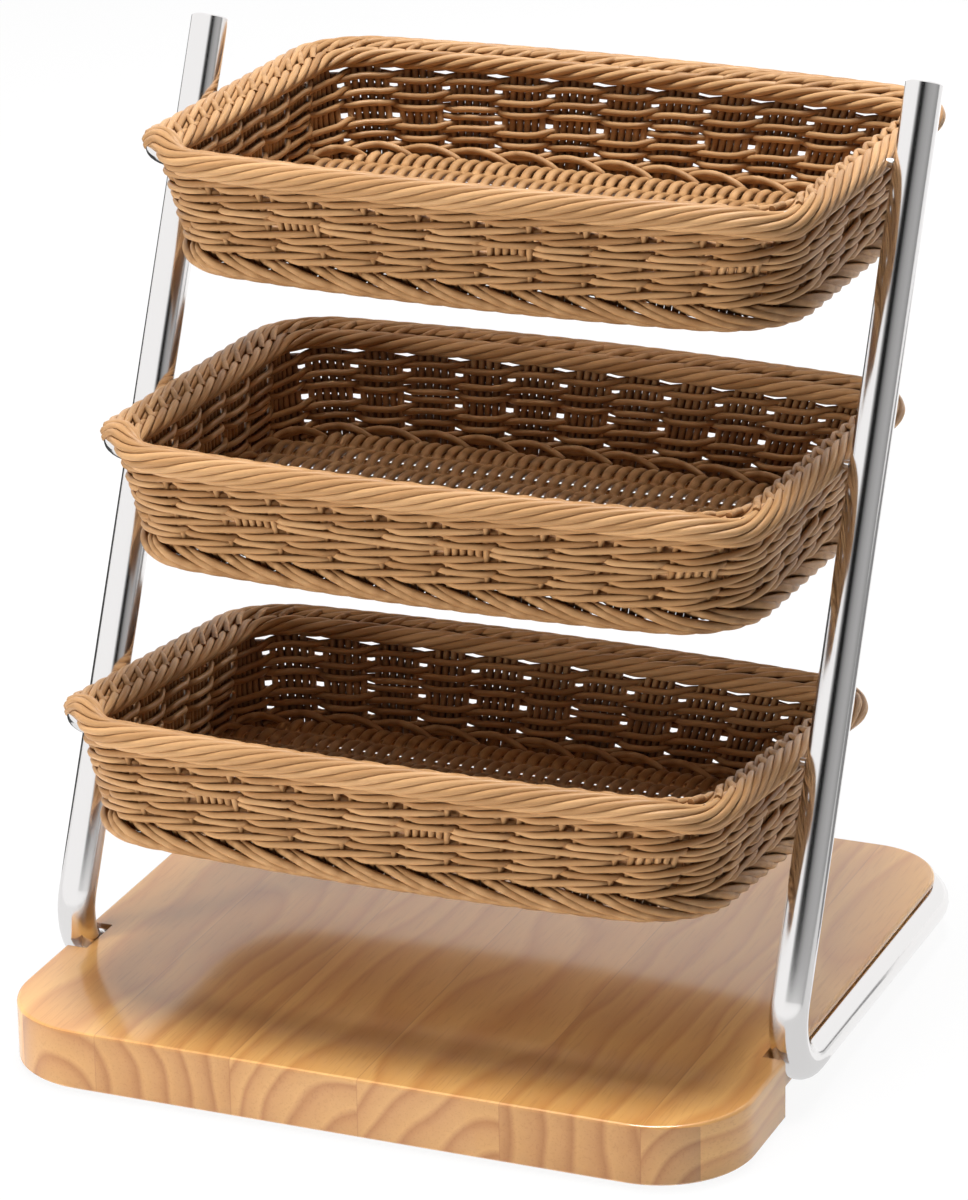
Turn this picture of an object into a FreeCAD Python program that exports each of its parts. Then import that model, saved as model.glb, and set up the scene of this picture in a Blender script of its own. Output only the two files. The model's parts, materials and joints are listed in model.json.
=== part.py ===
"""Bakery bread rack: three woven baskets on a bent steel tube frame over a wooden board.

Millimetres, +Z up.  The front of the rack faces -Y.  The origin is on the floor, under the
middle of the rack's outline.
"""
import FreeCAD, Part
import Sketcher
import math
import os
import re

Vector = FreeCAD.Vector
Rotation = FreeCAD.Rotation
Placement = FreeCAD.Placement
X_AXIS = Vector(1, 0, 0)
Y_AXIS = Vector(0, 1, 0)
Z_AXIS = Vector(0, 0, 1)
PARTS = "parts"

doc = FreeCAD.newDocument("bakery_bread_rack")

# ---------------------------------------------------------------- driving dimensions
SIZES = [
    # the board
    ("board_width", 385, "side to side"),
    ("board_depth", 354, "front to rear"),
    ("board_thickness", 31, "glued staves of rubberwood"),
    ("board_front_radius", 48, "front corners in plan"),
    ("board_rear_radius", 40, "rear corners in plan"),
    ("board_edge_round", 2, "rounding of the top and bottom edges"),
    ("board_lip", 3, "thickness of wood left above the tube"),
    ("pad_radius", 10, "anti-slip pad"),
    ("pad_height", 1.5, "the pads lift the board by this"),
    ("pad_inset", 45, "pad centres from the front and the sides"),
    ("pad_rear_inset", 45, "pad centres from the rear face"),
    # the tube frame
    ("tube_diameter", 19, "stainless tube"),
    ("tube_wall", 1.2, "wall of the tube"),
    ("tube_inset", 2, "tube axis inside the edges of the board"),
    ("tube_rise", 16.6, "axis of the lower run above the underside of the board"),
    ("tube_setback", 84.8, "axis of the uprights, at that height, behind the front face"),
    ("tube_gap", 0.3, "air between the tube and the wood"),
    ("upright_length", 490.7, "along the lean, from the axis of the lower run"),
    ("upright_lean", 25.2, "degrees that the uprights lean back"),
    ("front_bend", 28, "axis radius of the bend under each upright"),
    ("cap_thickness", 1.5, "disc that closes each upright"),
    ("cap_plug", 8, "length of the cap inside the tube"),
    ("cap_gap", 0.1, "air between the plug and the tube"),
    # the screws behind the board
    ("screw_radius", 2, "shank"),
    ("screw_head_radius", 4.2, "pan head"),
    ("screw_head_height", 2.6, "pan head"),
    ("screw_crown_radius", 2.5, "flat top of the pan head"),
    ("screw_grip", 18, "length of the screw inside the wood"),
    ("screw_spacing", 130, "from one screw to the next"),
    ("screw_gap", 0.1, "air around the shank"),
    # the rings that carry the baskets
    ("ring_wire", 6, "polished wire, across"),
    ("ring_depth", 233.4, "between the middles of the wire, at the corners"),
    ("ring_corner", 33, "corner radius of the ring"),
    ("ring_bow", 12.2, "swelling of its two long sides"),
    ("lug_wire", 5, "stub between a ring and an upright"),
    ("lug_length", 9.4, "from the middle of the ring's side to the upright"),
    ("top_rise", 425.5, "middle of the ring above the underside of the board"),
    ("top_shift", -2.6, "middle of the ring behind the axis of the uprights"),
    ("top_tilt", 1.4, "degrees that the rear of the ring lies lower"),
    ("middle_rise", 291.4, "as above"),
    ("middle_shift", 1.3, "as above"),
    ("middle_tilt", 2.3, "as above"),
    ("bottom_rise", 158.8, "as above"),
    ("bottom_shift", 10.4, "as above"),
    ("bottom_tilt", 6.6, "as above"),
    # the woven baskets
    ("basket_gap", 0.3, "air between a basket and its ring"),
    ("border_strand", 4.05, "thickness of the border strands over the ring"),
    ("border_reach", 14.9, "border inside the middle of the ring"),
    ("border_skirt", 8, "lower edge of the border below the middle of the ring"),
    ("border_shoulder", 3.2, "roundness of the border's upper edges"),
    ("lug_slot_gap", 1, "air between a lug and its slot in the border"),
    ("foot_drop", 56.2, "middle of the foot below the middle of the ring"),
    ("foot_side_taper", 12.35, "middle of the foot inside the middle of the ring, left and right"),
    ("foot_end_taper", 20.5, "the same, front and rear"),
    ("foot_corner", 36, "corner radius of the foot"),
    ("foot_bow", 11.3, "swelling of its two long sides"),
    ("foot_shift", 3, "middle of the foot behind the middle of the ring"),
    ("foot_aside", 2.5, "middle of the foot to the left of the middle of the ring"),
    ("foot_roll", 13.2, "height and width of the foot's border"),
    ("weaver", 2.4, "thickness of a strand of the wall"),
    ("weave_slack", 2.2, "air between a stake and the strand that passes it"),
    ("row_gap", 0.6, "air between two rows of strands"),
    ("stake_thickness", 2, "flat bundle of stakes"),
    ("stake_width", 3.6, "flat bundle of stakes"),
    ("floor_thickness", 2.4, "strands of the floor"),
    ("floor_gap", 1.6, "air between two strands of the floor"),
    ("floor_rise", 3, "top of the floor above the middle of the foot"),
    ("floor_seat", 0.2, "air between the ends of the floor and the foot"),
]
TIERS = ("top", "middle", "bottom")
ROWS = 6                # rows of strands in the wall of a basket
LONG_SPACE_COUNT = 9    # spaces between stakes on a long side
SHORT_SPACE_COUNT = 5   # spaces between stakes on a short side
CORNER_SPACE_COUNT = 2  # spaces between stakes round a corner
LONG_CHORD_COUNT = 4    # straight pieces in a long side of a border, ring or foot
CORNER_CHORD_COUNT = 4  # straight pieces in a corner of a border, ring or foot
FLOOR_STRANDS = 14      # strands of the floor that run from front to rear
CROSS_STRANDS = 3       # strands of the floor that run from side to side
SCREWS = 3              # screws behind the board


def make_sheet():
    """Spreadsheet with one aliased cell for each driving dimension."""
    sheet = doc.addObject("Spreadsheet::Sheet", "sizes")
    for row, (alias, value, note) in enumerate(SIZES, start=1):
        sheet.set("A%d" % row, note)
        sheet.set("B%d" % row, str(value))
        sheet.setAlias("B%d" % row, alias)
    doc.recompute()
    return sheet


sheet = make_sheet()


def size(alias):
    """Value of one cell of the sheet."""
    return float(getattr(sheet, alias))


# ---------------------------------------------------------------- places worked out once
LEAN = math.radians(size("upright_lean"))
LEAN_AXIS = Vector(0, math.sin(LEAN), math.cos(LEAN))
LEAN_TURN = Rotation(X_AXIS, -size("upright_lean"))
TUBE_RADIUS = size("tube_diameter") / 2
UPRIGHT_X = size("board_width") / 2 - size("tube_inset")
BOARD_FLOOR = size("pad_height")
RUN_Z = BOARD_FLOOR + size("tube_rise")
REAR_BEND = size("board_rear_radius") - size("tube_inset")
RING_WIDTH = 2 * (UPRIGHT_X - TUBE_RADIUS - size("lug_length"))
FOOT_WIDTH = RING_WIDTH - 2 * size("foot_side_taper")
FOOT_DEPTH = size("ring_depth") - 2 * size("foot_end_taper")
RING_REACH = size("ring_depth") / 2 + size("ring_bow")
BORDER_OUT = size("ring_wire") / 2 + size("basket_gap") + size("border_strand")


def tier_run(tier):
    """How far the middle of a ring lies behind the axis of the uprights at the lower run."""
    rise = size(tier + "_rise") - size("tube_rise")
    return rise * math.tan(LEAN) + size(tier + "_shift")


def tier_reach(tier):
    """How far the rear of a basket lies behind the front face of the board."""
    tilt = math.radians(size(tier + "_tilt"))
    rear = (RING_REACH + BORDER_OUT) * math.cos(tilt)
    return size("tube_setback") + tier_run(tier) + rear


FRAME_REACH = size("board_depth") - size("tube_inset") + TUBE_RADIUS + size("screw_head_height")
OVERALL_DEPTH = max([FRAME_REACH] + [tier_reach(tier) for tier in TIERS])
BOARD_FRONT = -OVERALL_DEPTH / 2
BOARD_REAR = BOARD_FRONT + size("board_depth")
REAR_RUN_Y = BOARD_REAR - size("tube_inset")
FOOT_Y = BOARD_FRONT + size("tube_setback")


# ---------------------------------------------------------------- sketches and bodies
def new_body(name):
    """Empty PartDesign body whose label is the name of its node."""
    body = doc.addObject("PartDesign::Body", name)
    body.Label = name
    return body


def plane_of(body, role):
    """One of the body's own origin planes."""
    for feature in body.Origin.OriginFeatures:
        if feature.Role == role:
            return feature
    raise ValueError(role)


def polygon_sketch(body, name, role, corners):
    """Closed outline whose corners are pairs of expressions over the sheet's aliases."""
    sketch = body.newObject("Sketcher::SketchObject", name)
    sketch.AttachmentSupport = [(plane_of(body, role), "")]
    sketch.MapMode = "FlatFace"
    places = [Vector(value(x), value(y), 0) for x, y in corners]
    for start, end in zip(places, places[1:] + places[:1]):
        sketch.addGeometry(Part.LineSegment(start, end))
    for line, (x, y) in enumerate(corners):
        after = (line + 1) % len(corners)
        sketch.addConstraint(Sketcher.Constraint("Coincident", line, 2, after, 1))
        for kind, place, words in (("DistanceX", places[line].x, x), ("DistanceY", places[line].y, y)):
            index = sketch.addConstraint(Sketcher.Constraint(kind, -1, 1, line, 1, place))
            sketch.setExpression("Constraints[%d]" % index, in_sheet(words))
    return sketch


def in_sheet(words):
    """The same expression with each alias read from the sheet."""
    return re.sub(r"[a-z]\w*_\w+|weaver", lambda alias: "sizes." + alias.group(), str(words))


def value(words):
    """Value of an expression over the sheet's aliases."""
    return float(sheet.evalExpression(str(words)))


def add(body, kind, name, sketch=None, **bindings):
    """Feature of a body, with its sizes bound to expressions over the sheet's aliases."""
    feature = body.newObject("PartDesign::" + kind, name)
    if sketch is not None:
        feature.Profile = sketch
        sketch.Visibility = False
    for key, words in bindings.items():
        feature.setExpression(key, in_sheet(words))
    return feature


def edges_of(feature, wanted):
    """Names of the edges of a feature for which wanted(edge) holds."""
    edges = feature.Shape.Edges
    return ["Edge%d" % (index + 1) for index, edge in enumerate(edges) if wanted(edge)]


def fillet(body, name, base, radius, wanted):
    """Fillet of the chosen edges."""
    doc.recompute()
    feature = add(body, "Fillet", name, Radius=radius)
    feature.Base = (base, edges_of(base, wanted))
    doc.recompute()
    return feature


def upright_edge(edge):
    """True for a straight vertical edge."""
    low, high = edge.BoundBox.ZMin, edge.BoundBox.ZMax
    return edge.BoundBox.XLength < 0.01 and edge.BoundBox.YLength < 0.01 and high > low


def at_height(edge, z):
    """True for an edge that lies flat at one height."""
    return abs(edge.BoundBox.ZMin - z) < 0.01 and abs(edge.BoundBox.ZMax - z) < 0.01


# ---------------------------------------------------------------- the board
BEND_LEAD = "front_bend * tan((90 + upright_lean) / 2)"
REBATE_HALF = "(board_width / 2 - tube_inset - tube_diameter / 2 - tube_gap)"
REBATE_REAR = "(board_depth - tube_inset - tube_diameter / 2 - tube_gap)"
REBATE_FRONT = "(tube_setback + %s - front_bend - tube_diameter / 2 - tube_gap)" % BEND_LEAD
REBATE_CORNER = "(board_rear_radius - tube_inset - tube_diameter / 2 - tube_gap)"
OUTSIDE = "(board_width / 2 + tube_diameter)"
BEHIND = "(board_depth + tube_diameter)"
BEND_DEPTH = "(tube_rise + front_bend - board_thickness + board_lip)"
BEND_INSIDE = "(front_bend - tube_diameter / 2)"
NOTCH_REAR = "(tube_setback + %s + tube_gap - sqrt(max(%s ^ 2 - %s ^ 2; 0)))" % (
    BEND_LEAD, BEND_INSIDE, BEND_DEPTH)


ARC_STEPS = 6  # straight pieces in each rear corner of the rebate


def rebate_arc(sign, turns):
    """Corner points of a rear corner of the rebate, at the given turns in degrees."""
    return [("%s(%s - %s * (1 - cos(%g)))" % (sign, REBATE_HALF, REBATE_CORNER, turn),
             "%s - %s * (1 - sin(%g))" % (REBATE_REAR, REBATE_CORNER, turn)) for turn in turns]


def make_board():
    """Glued board with a rebate for the tube behind its two notches."""
    body = new_body("board_wood")
    outline = polygon_sketch(body, "board_outline", "XY_Plane", [
        ("-board_width / 2", "0"), ("board_width / 2", "0"),
        ("board_width / 2", "board_depth"), ("-board_width / 2", "board_depth")])
    slab = add(body, "Pad", "board_slab", outline, Length="board_thickness")
    middle = value("board_depth / 2")
    front = fillet(body, "front_corners", slab, "board_front_radius",
                   lambda edge: upright_edge(edge) and edge.BoundBox.YMin < middle)
    outer = value("board_width / 2") - size("tube_inset")
    rear = fillet(body, "rear_corners", front, "board_rear_radius",
                  lambda edge: upright_edge(edge) and edge.BoundBox.YMin > middle
                  and abs(edge.BoundBox.XMin) > outer)
    top = size("board_thickness")
    rounded = fillet(body, "rounded_top", rear, "board_edge_round", lambda edge: at_height(edge, top))
    bevel = add(body, "Chamfer", "bevelled_underside", Size="board_edge_round / 2")
    bevel.Base = (rounded, edges_of(rounded, lambda edge: at_height(edge, 0)))
    doc.recompute()

    # a U of wood taken away from below, along the sides and the rear
    turns = [90 * step / ARC_STEPS for step in range(ARC_STEPS + 1)]
    rebate = polygon_sketch(body, "rebate_outline", "XY_Plane", (
        [("-" + OUTSIDE, REBATE_FRONT), ("-" + REBATE_HALF, REBATE_FRONT)]
        + rebate_arc("-", turns) + rebate_arc("", turns[::-1])
        + [(REBATE_HALF, REBATE_FRONT), (OUTSIDE, REBATE_FRONT),
           (OUTSIDE, BEHIND), ("-" + OUTSIDE, BEHIND)]))
    cut = add(body, "Pocket", "tube_rebate", rebate, Length="board_thickness - board_lip")
    cut.Reversed = True

    # the two notches in the lip, where the tube comes up
    for side, sign in (("left", "-"), ("right", "")):
        notch = polygon_sketch(body, side + "_notch_outline", "XY_Plane", [
            (sign + REBATE_HALF, REBATE_FRONT), (sign + OUTSIDE, REBATE_FRONT),
            (sign + OUTSIDE, NOTCH_REAR), (sign + REBATE_HALF, NOTCH_REAR)])
        opening = add(body, "Pocket", side + "_notch", notch, Length="board_thickness + board_lip")
        opening.Reversed = True
    body.Placement = Placement(Vector(0, BOARD_FRONT, BOARD_FLOOR), Rotation())
    holes = screw_bars("pilot_holes", "screw_radius + screw_gap", "screw_grip + board_lip + tube_diameter")
    return cut_away("board", body, holes)


def cut_away(name, base, tool):
    """Part::Cut whose label is the name of its node."""
    cut = doc.addObject("Part::Cut", name)
    cut.Base = base
    cut.Tool = tool
    cut.Label = name
    return cut


def screw_places():
    """Middle of the tube's rear side at each screw."""
    first = -size("screw_spacing") * (SCREWS - 1) / 2
    return [Vector(first + size("screw_spacing") * screw, REAR_RUN_Y + TUBE_RADIUS, RUN_Z)
            for screw in range(SCREWS)]


def screw_bars(name, radius, length):
    """Round bars where the screws go, pointing forward from the rear of the tube."""
    bars = []
    for index, place in enumerate(screw_places()):
        bar = doc.addObject("Part::Cylinder", "%s_%d" % (name, index))
        bar.setExpression("Radius", in_sheet(radius))
        bar.setExpression("Height", in_sheet(length))
        bar.Placement = Placement(place, Rotation(X_AXIS, 90))
        bars.append(bar)
    group = doc.addObject("Part::Compound", name)
    group.Links = bars
    return group


def make_pads():
    """Four thin anti-slip pads under the board."""
    pads = []
    reach = value("board_width / 2 - pad_inset")
    front = BOARD_FRONT + size("pad_inset")
    rear = BOARD_REAR - size("pad_rear_inset")
    for index, (x, y) in enumerate([(-reach, front), (reach, front), (reach, rear), (-reach, rear)]):
        pad = doc.addObject("Part::Cylinder", "pad_%d" % index)
        pad.setExpression("Radius", in_sheet("pad_radius"))
        pad.setExpression("Height", in_sheet("pad_height"))
        pad.Placement = Placement(Vector(x, y, 0), Rotation())
        pads.append(pad)
    group = doc.addObject("Part::Compound", "anti_slip_pads")
    group.Links = pads
    group.Label = "anti_slip_pads"
    return group


# ---------------------------------------------------------------- the tube frame
def bent_path(points, radii):
    """Wire of straight runs joined by tangent arcs, with one radius for each inner point."""
    edges = []
    start = points[0]
    for before, corner, after, radius in zip(points, points[1:], points[2:], radii):
        arriving = (corner - before).normalize()
        leaving = (after - corner).normalize()
        turn = arriving.getAngle(leaving)
        lead = radius * math.tan(turn / 2)
        enter = corner - arriving * lead
        leave = corner + leaving * lead
        inward = (leaving - arriving).normalize()
        crown = corner + inward * (radius / math.cos(turn / 2) - radius)
        edges.append(Part.LineSegment(start, enter).toShape())
        edges.append(Part.Arc(enter, crown, leave).toShape())
        start = leave
    edges.append(Part.LineSegment(start, points[-1]).toShape())
    return Part.Wire(edges)


def frame_points():
    """Corners of the tube's axis, from the top of the left upright to that of the right one."""
    rise = LEAN_AXIS * size("upright_length")
    left_foot = Vector(-UPRIGHT_X, FOOT_Y, RUN_Z)
    right_foot = Vector(UPRIGHT_X, FOOT_Y, RUN_Z)
    left_rear = Vector(-UPRIGHT_X, REAR_RUN_Y, RUN_Z)
    right_rear = Vector(UPRIGHT_X, REAR_RUN_Y, RUN_Z)
    return [left_foot + rise, left_foot, left_rear, right_rear, right_foot, right_foot + rise]


def swept(name, axis, radius):
    """Round bar of one radius along the tube's axis."""
    start = frame_points()[0]
    section = Part.Face(Part.Wire(Part.makeCircle(radius, start, LEAN_AXIS)))
    bar = doc.addObject("Part::Feature", name)
    bar.Shape = axis.makePipe(section)
    return bar


def make_frame_tube():
    """One stainless tube: two leaning uprights joined by a run round the rear of the board."""
    bends = [size("front_bend"), REAR_BEND, REAR_BEND, size("front_bend")]
    axis = bent_path(frame_points(), bends)
    outside = swept("tube_outside", axis, TUBE_RADIUS)
    inside = swept("tube_inside", axis, TUBE_RADIUS - size("tube_wall"))
    holes = screw_bars("tube_holes", "screw_radius + 2 * screw_gap", "tube_diameter + tube_gap")
    pipe = cut_away("tube_pipe", outside, inside)
    return cut_away("frame_tube", pipe, holes)


def turned_body(name, profile):
    """Body of revolution about its own Z axis."""
    body = new_body(name)
    sketch = polygon_sketch(body, name + "_profile", "XZ_Plane", profile)
    turned = add(body, "Revolution", name + "_turned", sketch)
    turned.ReferenceAxis = (sketch, ["V_Axis"])
    turned.Angle = 360
    doc.recompute()
    return body


def copies(name, body, placements):
    """One node that holds a separate solid of the same body at each placement."""
    solids = []
    for placement in placements:
        solid = body.Shape.copy()
        solid.Placement = placement
        solids.append(solid)
    return feature(name, Part.makeCompound(solids), Placement())


def make_end_caps():
    """Discs with a plug that close the tops of the uprights."""
    bore = "tube_diameter / 2 - tube_wall - cap_gap"
    cap = turned_body("cap_pattern", [
        ("0", "-cap_plug"), (bore, "-cap_plug"), (bore, "0"), ("tube_diameter / 2", "0"),
        ("tube_diameter / 2", "cap_thickness / 2"),
        ("tube_diameter / 2 - cap_thickness / 2", "cap_thickness"), ("0", "cap_thickness")])
    rise = LEAN_AXIS * size("upright_length")
    tops = [Vector(x, FOOT_Y, RUN_Z) + rise for x in (-UPRIGHT_X, UPRIGHT_X)]
    return copies("end_caps", cap, [Placement(top, LEAN_TURN) for top in tops])


def make_rear_screws():
    """Pan-head screws through the rear run into the rear edge of the board."""
    screw = turned_body("screw_pattern", [
        ("0", "-tube_diameter - screw_grip"), ("screw_radius", "-tube_diameter - screw_grip"),
        ("screw_radius", "0"), ("screw_head_radius", "0"),
        ("screw_head_radius", "screw_head_height / 2"),
        ("screw_crown_radius", "screw_head_height"), ("0", "screw_head_height")])
    turn = Rotation(X_AXIS, -90)
    return copies("rear_screws", screw, [Placement(place, turn) for place in screw_places()])


def feature(name, shape, placement):
    """Part::Feature whose label is the name of its node."""
    made = doc.addObject("Part::Feature", name)
    made.Shape = shape
    made.Placement = placement
    made.Label = name
    return made


# ---------------------------------------------------------------- outlines of the basketwork
def outline(width, depth, corner, bow, long_spaces, short_spaces, corner_spaces):
    """Rounded rectangle with swollen long sides, as its corner points, anticlockwise."""
    half_width, half_depth = width / 2, depth / 2
    flat_x, flat_y = half_width - corner, half_depth - corner
    rounded = []
    for quarter, (sign_x, sign_y) in enumerate([(1, 1), (-1, 1), (-1, -1), (1, -1)]):
        for step in range(corner_spaces + 1):
            angle = math.pi / 2 * (quarter + step / corner_spaces)
            rounded.append(Vector(sign_x * flat_x + corner * math.cos(angle),
                                  sign_y * flat_y + corner * math.sin(angle), 0))
        spaces = long_spaces if quarter % 2 == 0 else short_spaces
        last = rounded[-1]
        along = Vector(-2 * sign_x * flat_x, 0, 0) if quarter % 2 == 0 else Vector(0, -2 * sign_y * flat_y, 0)
        for step in range(1, spaces):
            rounded.append(last + along * (step / spaces))
    return [Vector(p.x, p.y + bow * p.y / half_depth * (1 - (p.x / half_width) ** 2), 0)
            for p in rounded]


def outward(points):
    """For each point, the step that moves both sides beside it outward by one."""
    steps = []
    for before, here, after in zip(points[-1:] + points[:-1], points, points[1:] + points[:1]):
        arriving = (here - before).normalize()
        leaving = (after - here).normalize()
        arriving_out = Vector(arriving.y, -arriving.x, 0)
        leaving_out = Vector(leaving.y, -leaving.x, 0)
        both = arriving_out + leaving_out
        steps.append(both * (2 / both.dot(both)))
    return steps


def belt(points, profile):
    """Solid whose profile of (outward, up) pairs is carried round a closed outline."""
    steps = outward(points)
    stations = [[point + step * out + Z_AXIS * up for out, up in profile]
                for point, step in zip(points, steps)]
    faces = []
    for here, after in zip(stations, stations[1:] + stations[:1]):
        for low in range(len(profile)):
            high = (low + 1) % len(profile)
            corners = [here[low], after[low], after[high], here[high], here[low]]
            faces.append(Part.Face(Part.makePolygon(corners)))
    return upright_solid(Part.makeSolid(Part.makeShell(faces)))


def upright_solid(solid):
    """The same solid with its faces pointing outward."""
    if solid.Volume < 0:
        solid.reverse()
    return solid


def blend(top, bottom, share):
    """Outline between two outlines with as many points."""
    return [high + (low - high) * share for high, low in zip(top, bottom)]


def tier_place(tier):
    """Placement of a ring and its basket: the middle of the ring, tilted with it."""
    middle = Vector(0, FOOT_Y + tier_run(tier), BOARD_FLOOR + size(tier + "_rise"))
    return Placement(middle, Rotation(X_AXIS, -size(tier + "_tilt")))


def lug_depth(tier):
    """Where the upright's axis meets the plane of the ring, behind the ring's middle."""
    place = tier_place(tier)
    across, up = place.Rotation.multVec(Y_AXIS), place.Rotation.multVec(Z_AXIS)
    foot = Vector(0, FOOT_Y, RUN_Z)
    length = (place.Base - foot).dot(up) / LEAN_AXIS.dot(up)
    return (foot + LEAN_AXIS * length - place.Base).dot(across)


# ---------------------------------------------------------------- rings
RING_OUTLINE = outline(RING_WIDTH, size("ring_depth"), size("ring_corner"), size("ring_bow"),
                       LONG_CHORD_COUNT, 1, CORNER_CHORD_COUNT)
WIRE_SIDES = 8


def round_profile(radius, sides):
    """Regular profile whose flats lie at the radius."""
    corner = radius / math.cos(math.pi / sides)
    turns = [2 * math.pi * (side + 0.5) / sides for side in range(sides)]
    return [(corner * math.cos(turn), corner * math.sin(turn)) for turn in turns]


def make_ring(tier):
    """Wire ring with a short stub to each upright."""
    wire = belt(RING_OUTLINE, round_profile(size("ring_wire") / 2, WIRE_SIDES))
    length = size("lug_length")
    for side in (-1, 1):
        start = Vector(side * RING_WIDTH / 2, lug_depth(tier), 0)
        wire = wire.fuse(Part.makeCylinder(size("lug_wire") / 2, length, start, X_AXIS * side))
    return feature(tier + "_ring", wire, tier_place(tier))


# ---------------------------------------------------------------- baskets
FOOT_TOP = -(size("foot_drop") - size("foot_roll") / 2)
WALL_TOP = -size("border_skirt")
SWING = size("stake_thickness") / 2 + size("weaver") / 2 + size("weave_slack")
WALL_INSET = size("border_reach") - SWING - size("weaver") / 2 - size("basket_gap")
FOOT_SHIFT = Vector(-size("foot_aside"), size("foot_shift"), 0)


def foot_outline(long_spaces, short_spaces, corner_spaces):
    """Outline of the foot, moved back from the middle of the ring."""
    middle = outline(FOOT_WIDTH, FOOT_DEPTH, size("foot_corner"), size("foot_bow"),
                     long_spaces, short_spaces, corner_spaces)
    return [point + FOOT_SHIFT for point in middle]


def wall_outlines():
    """Outlines of the middle of the wall under the border and over the foot, stake by stake."""
    shrink = 2 * WALL_INSET
    top = outline(RING_WIDTH - shrink, size("ring_depth") - shrink,
                  size("ring_corner") - WALL_INSET, size("ring_bow"),
                  LONG_SPACE_COUNT, SHORT_SPACE_COUNT, CORNER_SPACE_COUNT)
    return top, foot_outline(LONG_SPACE_COUNT, SHORT_SPACE_COUNT, CORNER_SPACE_COUNT)


def make_border(tier):
    """Rolled border that sits over the ring, open below, with a slot for each lug."""
    out, room = BORDER_OUT, size("ring_wire") / 2 + size("basket_gap")
    reach, skirt, shoulder = size("border_reach"), size("border_skirt"), size("border_shoulder")
    border = belt(RING_OUTLINE, [
        (out, -skirt), (out, shoulder), (shoulder, out), (-room - shoulder, out),
        (-reach, shoulder / 2), (-reach, -skirt), (-room, -skirt), (-room, room),
        (room, room), (room, -skirt)])
    slot = size("lug_wire") / 2 + size("lug_slot_gap")
    for side in (-1, 1):
        length = out + size("border_strand")
        corner = Vector(min(0, side * length), -slot, -2 * skirt)
        middle = Vector(side * RING_WIDTH / 2, lug_depth(tier), 0)
        border = border.cut(Part.makeBox(length, 2 * slot, 2 * skirt + slot, corner + middle))
    return feature(tier + "_basket_border", border, tier_place(tier))


def make_stakes(tier):
    """Flat stakes from the border down to the foot."""
    top, bottom = wall_outlines()
    half_thick, half_wide = size("stake_thickness") / 2, size("stake_width") / 2
    stakes = []
    for high, low, step in zip(top, bottom, outward(top)):
        out = Vector(step).normalize()
        along = Vector(-out.y, out.x, 0)
        start = high + Z_AXIS * WALL_TOP
        corners = [start + out * (half_thick * a) + along * (half_wide * b)
                   for a, b in ((1, -1), (1, 1), (-1, 1), (-1, -1), (1, -1))]
        run = low - high + Z_AXIS * (FOOT_TOP - WALL_TOP)
        stakes.append(Part.Face(Part.makePolygon(corners)).extrude(run))
    return feature(tier + "_basket_stakes", Part.makeCompound(stakes), tier_place(tier))


def woven_outline(height, parity):
    """Middle of a row of strands at one height, alternately outside and inside the stakes."""
    share = (WALL_TOP - height) / (WALL_TOP - FOOT_TOP)
    middle = blend(*wall_outlines(), share)
    steps = [Vector(step).normalize() for step in outward(middle)]
    return [point + step * (SWING if (stake + parity) % 2 else -SWING)
            for stake, (point, step) in enumerate(zip(middle, steps))]


def leaning_row(low, high, parity):
    """Solid of one row of strands that leans with the wall from its lower to its upper edge."""
    half_thick = size("weaver") / 2
    loops = []
    for side, height in ((1, low), (1, high), (-1, high), (-1, low)):
        woven = woven_outline(height, parity)
        loops.append([point + step * (half_thick * side) + Z_AXIS * height
                      for point, step in zip(woven, outward(woven))])
    stations = list(zip(*loops))
    faces = []
    for here, after in zip(stations, stations[1:] + stations[:1]):
        for first in range(len(loops)):
            last = (first + 1) % len(loops)
            for corners in ((here[first], after[first], after[last]), (here[first], after[last], here[last])):
                faces.append(Part.Face(Part.makePolygon(list(corners) + [corners[0]])))
    return upright_solid(Part.makeSolid(Part.makeShell(faces)))


def weaver_rows():
    """Rows of strands of one basket, in the basket's own frame."""
    pitch = (WALL_TOP - FOOT_TOP) / ROWS
    rows = []
    for row in range(ROWS):
        high = WALL_TOP - pitch * row - size("row_gap") / 2
        rows.append(leaning_row(high - pitch + size("row_gap"), high, row))
    return Part.makeCompound(rows)


def make_weavers(tier):
    """Rows of strands, each passing outside one stake and inside the next."""
    return feature(tier + "_basket_weavers", WEAVER_ROWS.copy(), tier_place(tier))


def make_foot(tier):
    """Rolled lower border that the stakes end in."""
    flat = foot_outline(LONG_CHORD_COUNT, 1, CORNER_CHORD_COUNT)
    middle = [point - Z_AXIS * size("foot_drop") for point in flat]
    foot = belt(middle, round_profile(size("foot_roll") / 2, WIRE_SIDES))
    return feature(tier + "_basket_foot", foot, tier_place(tier))


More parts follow.
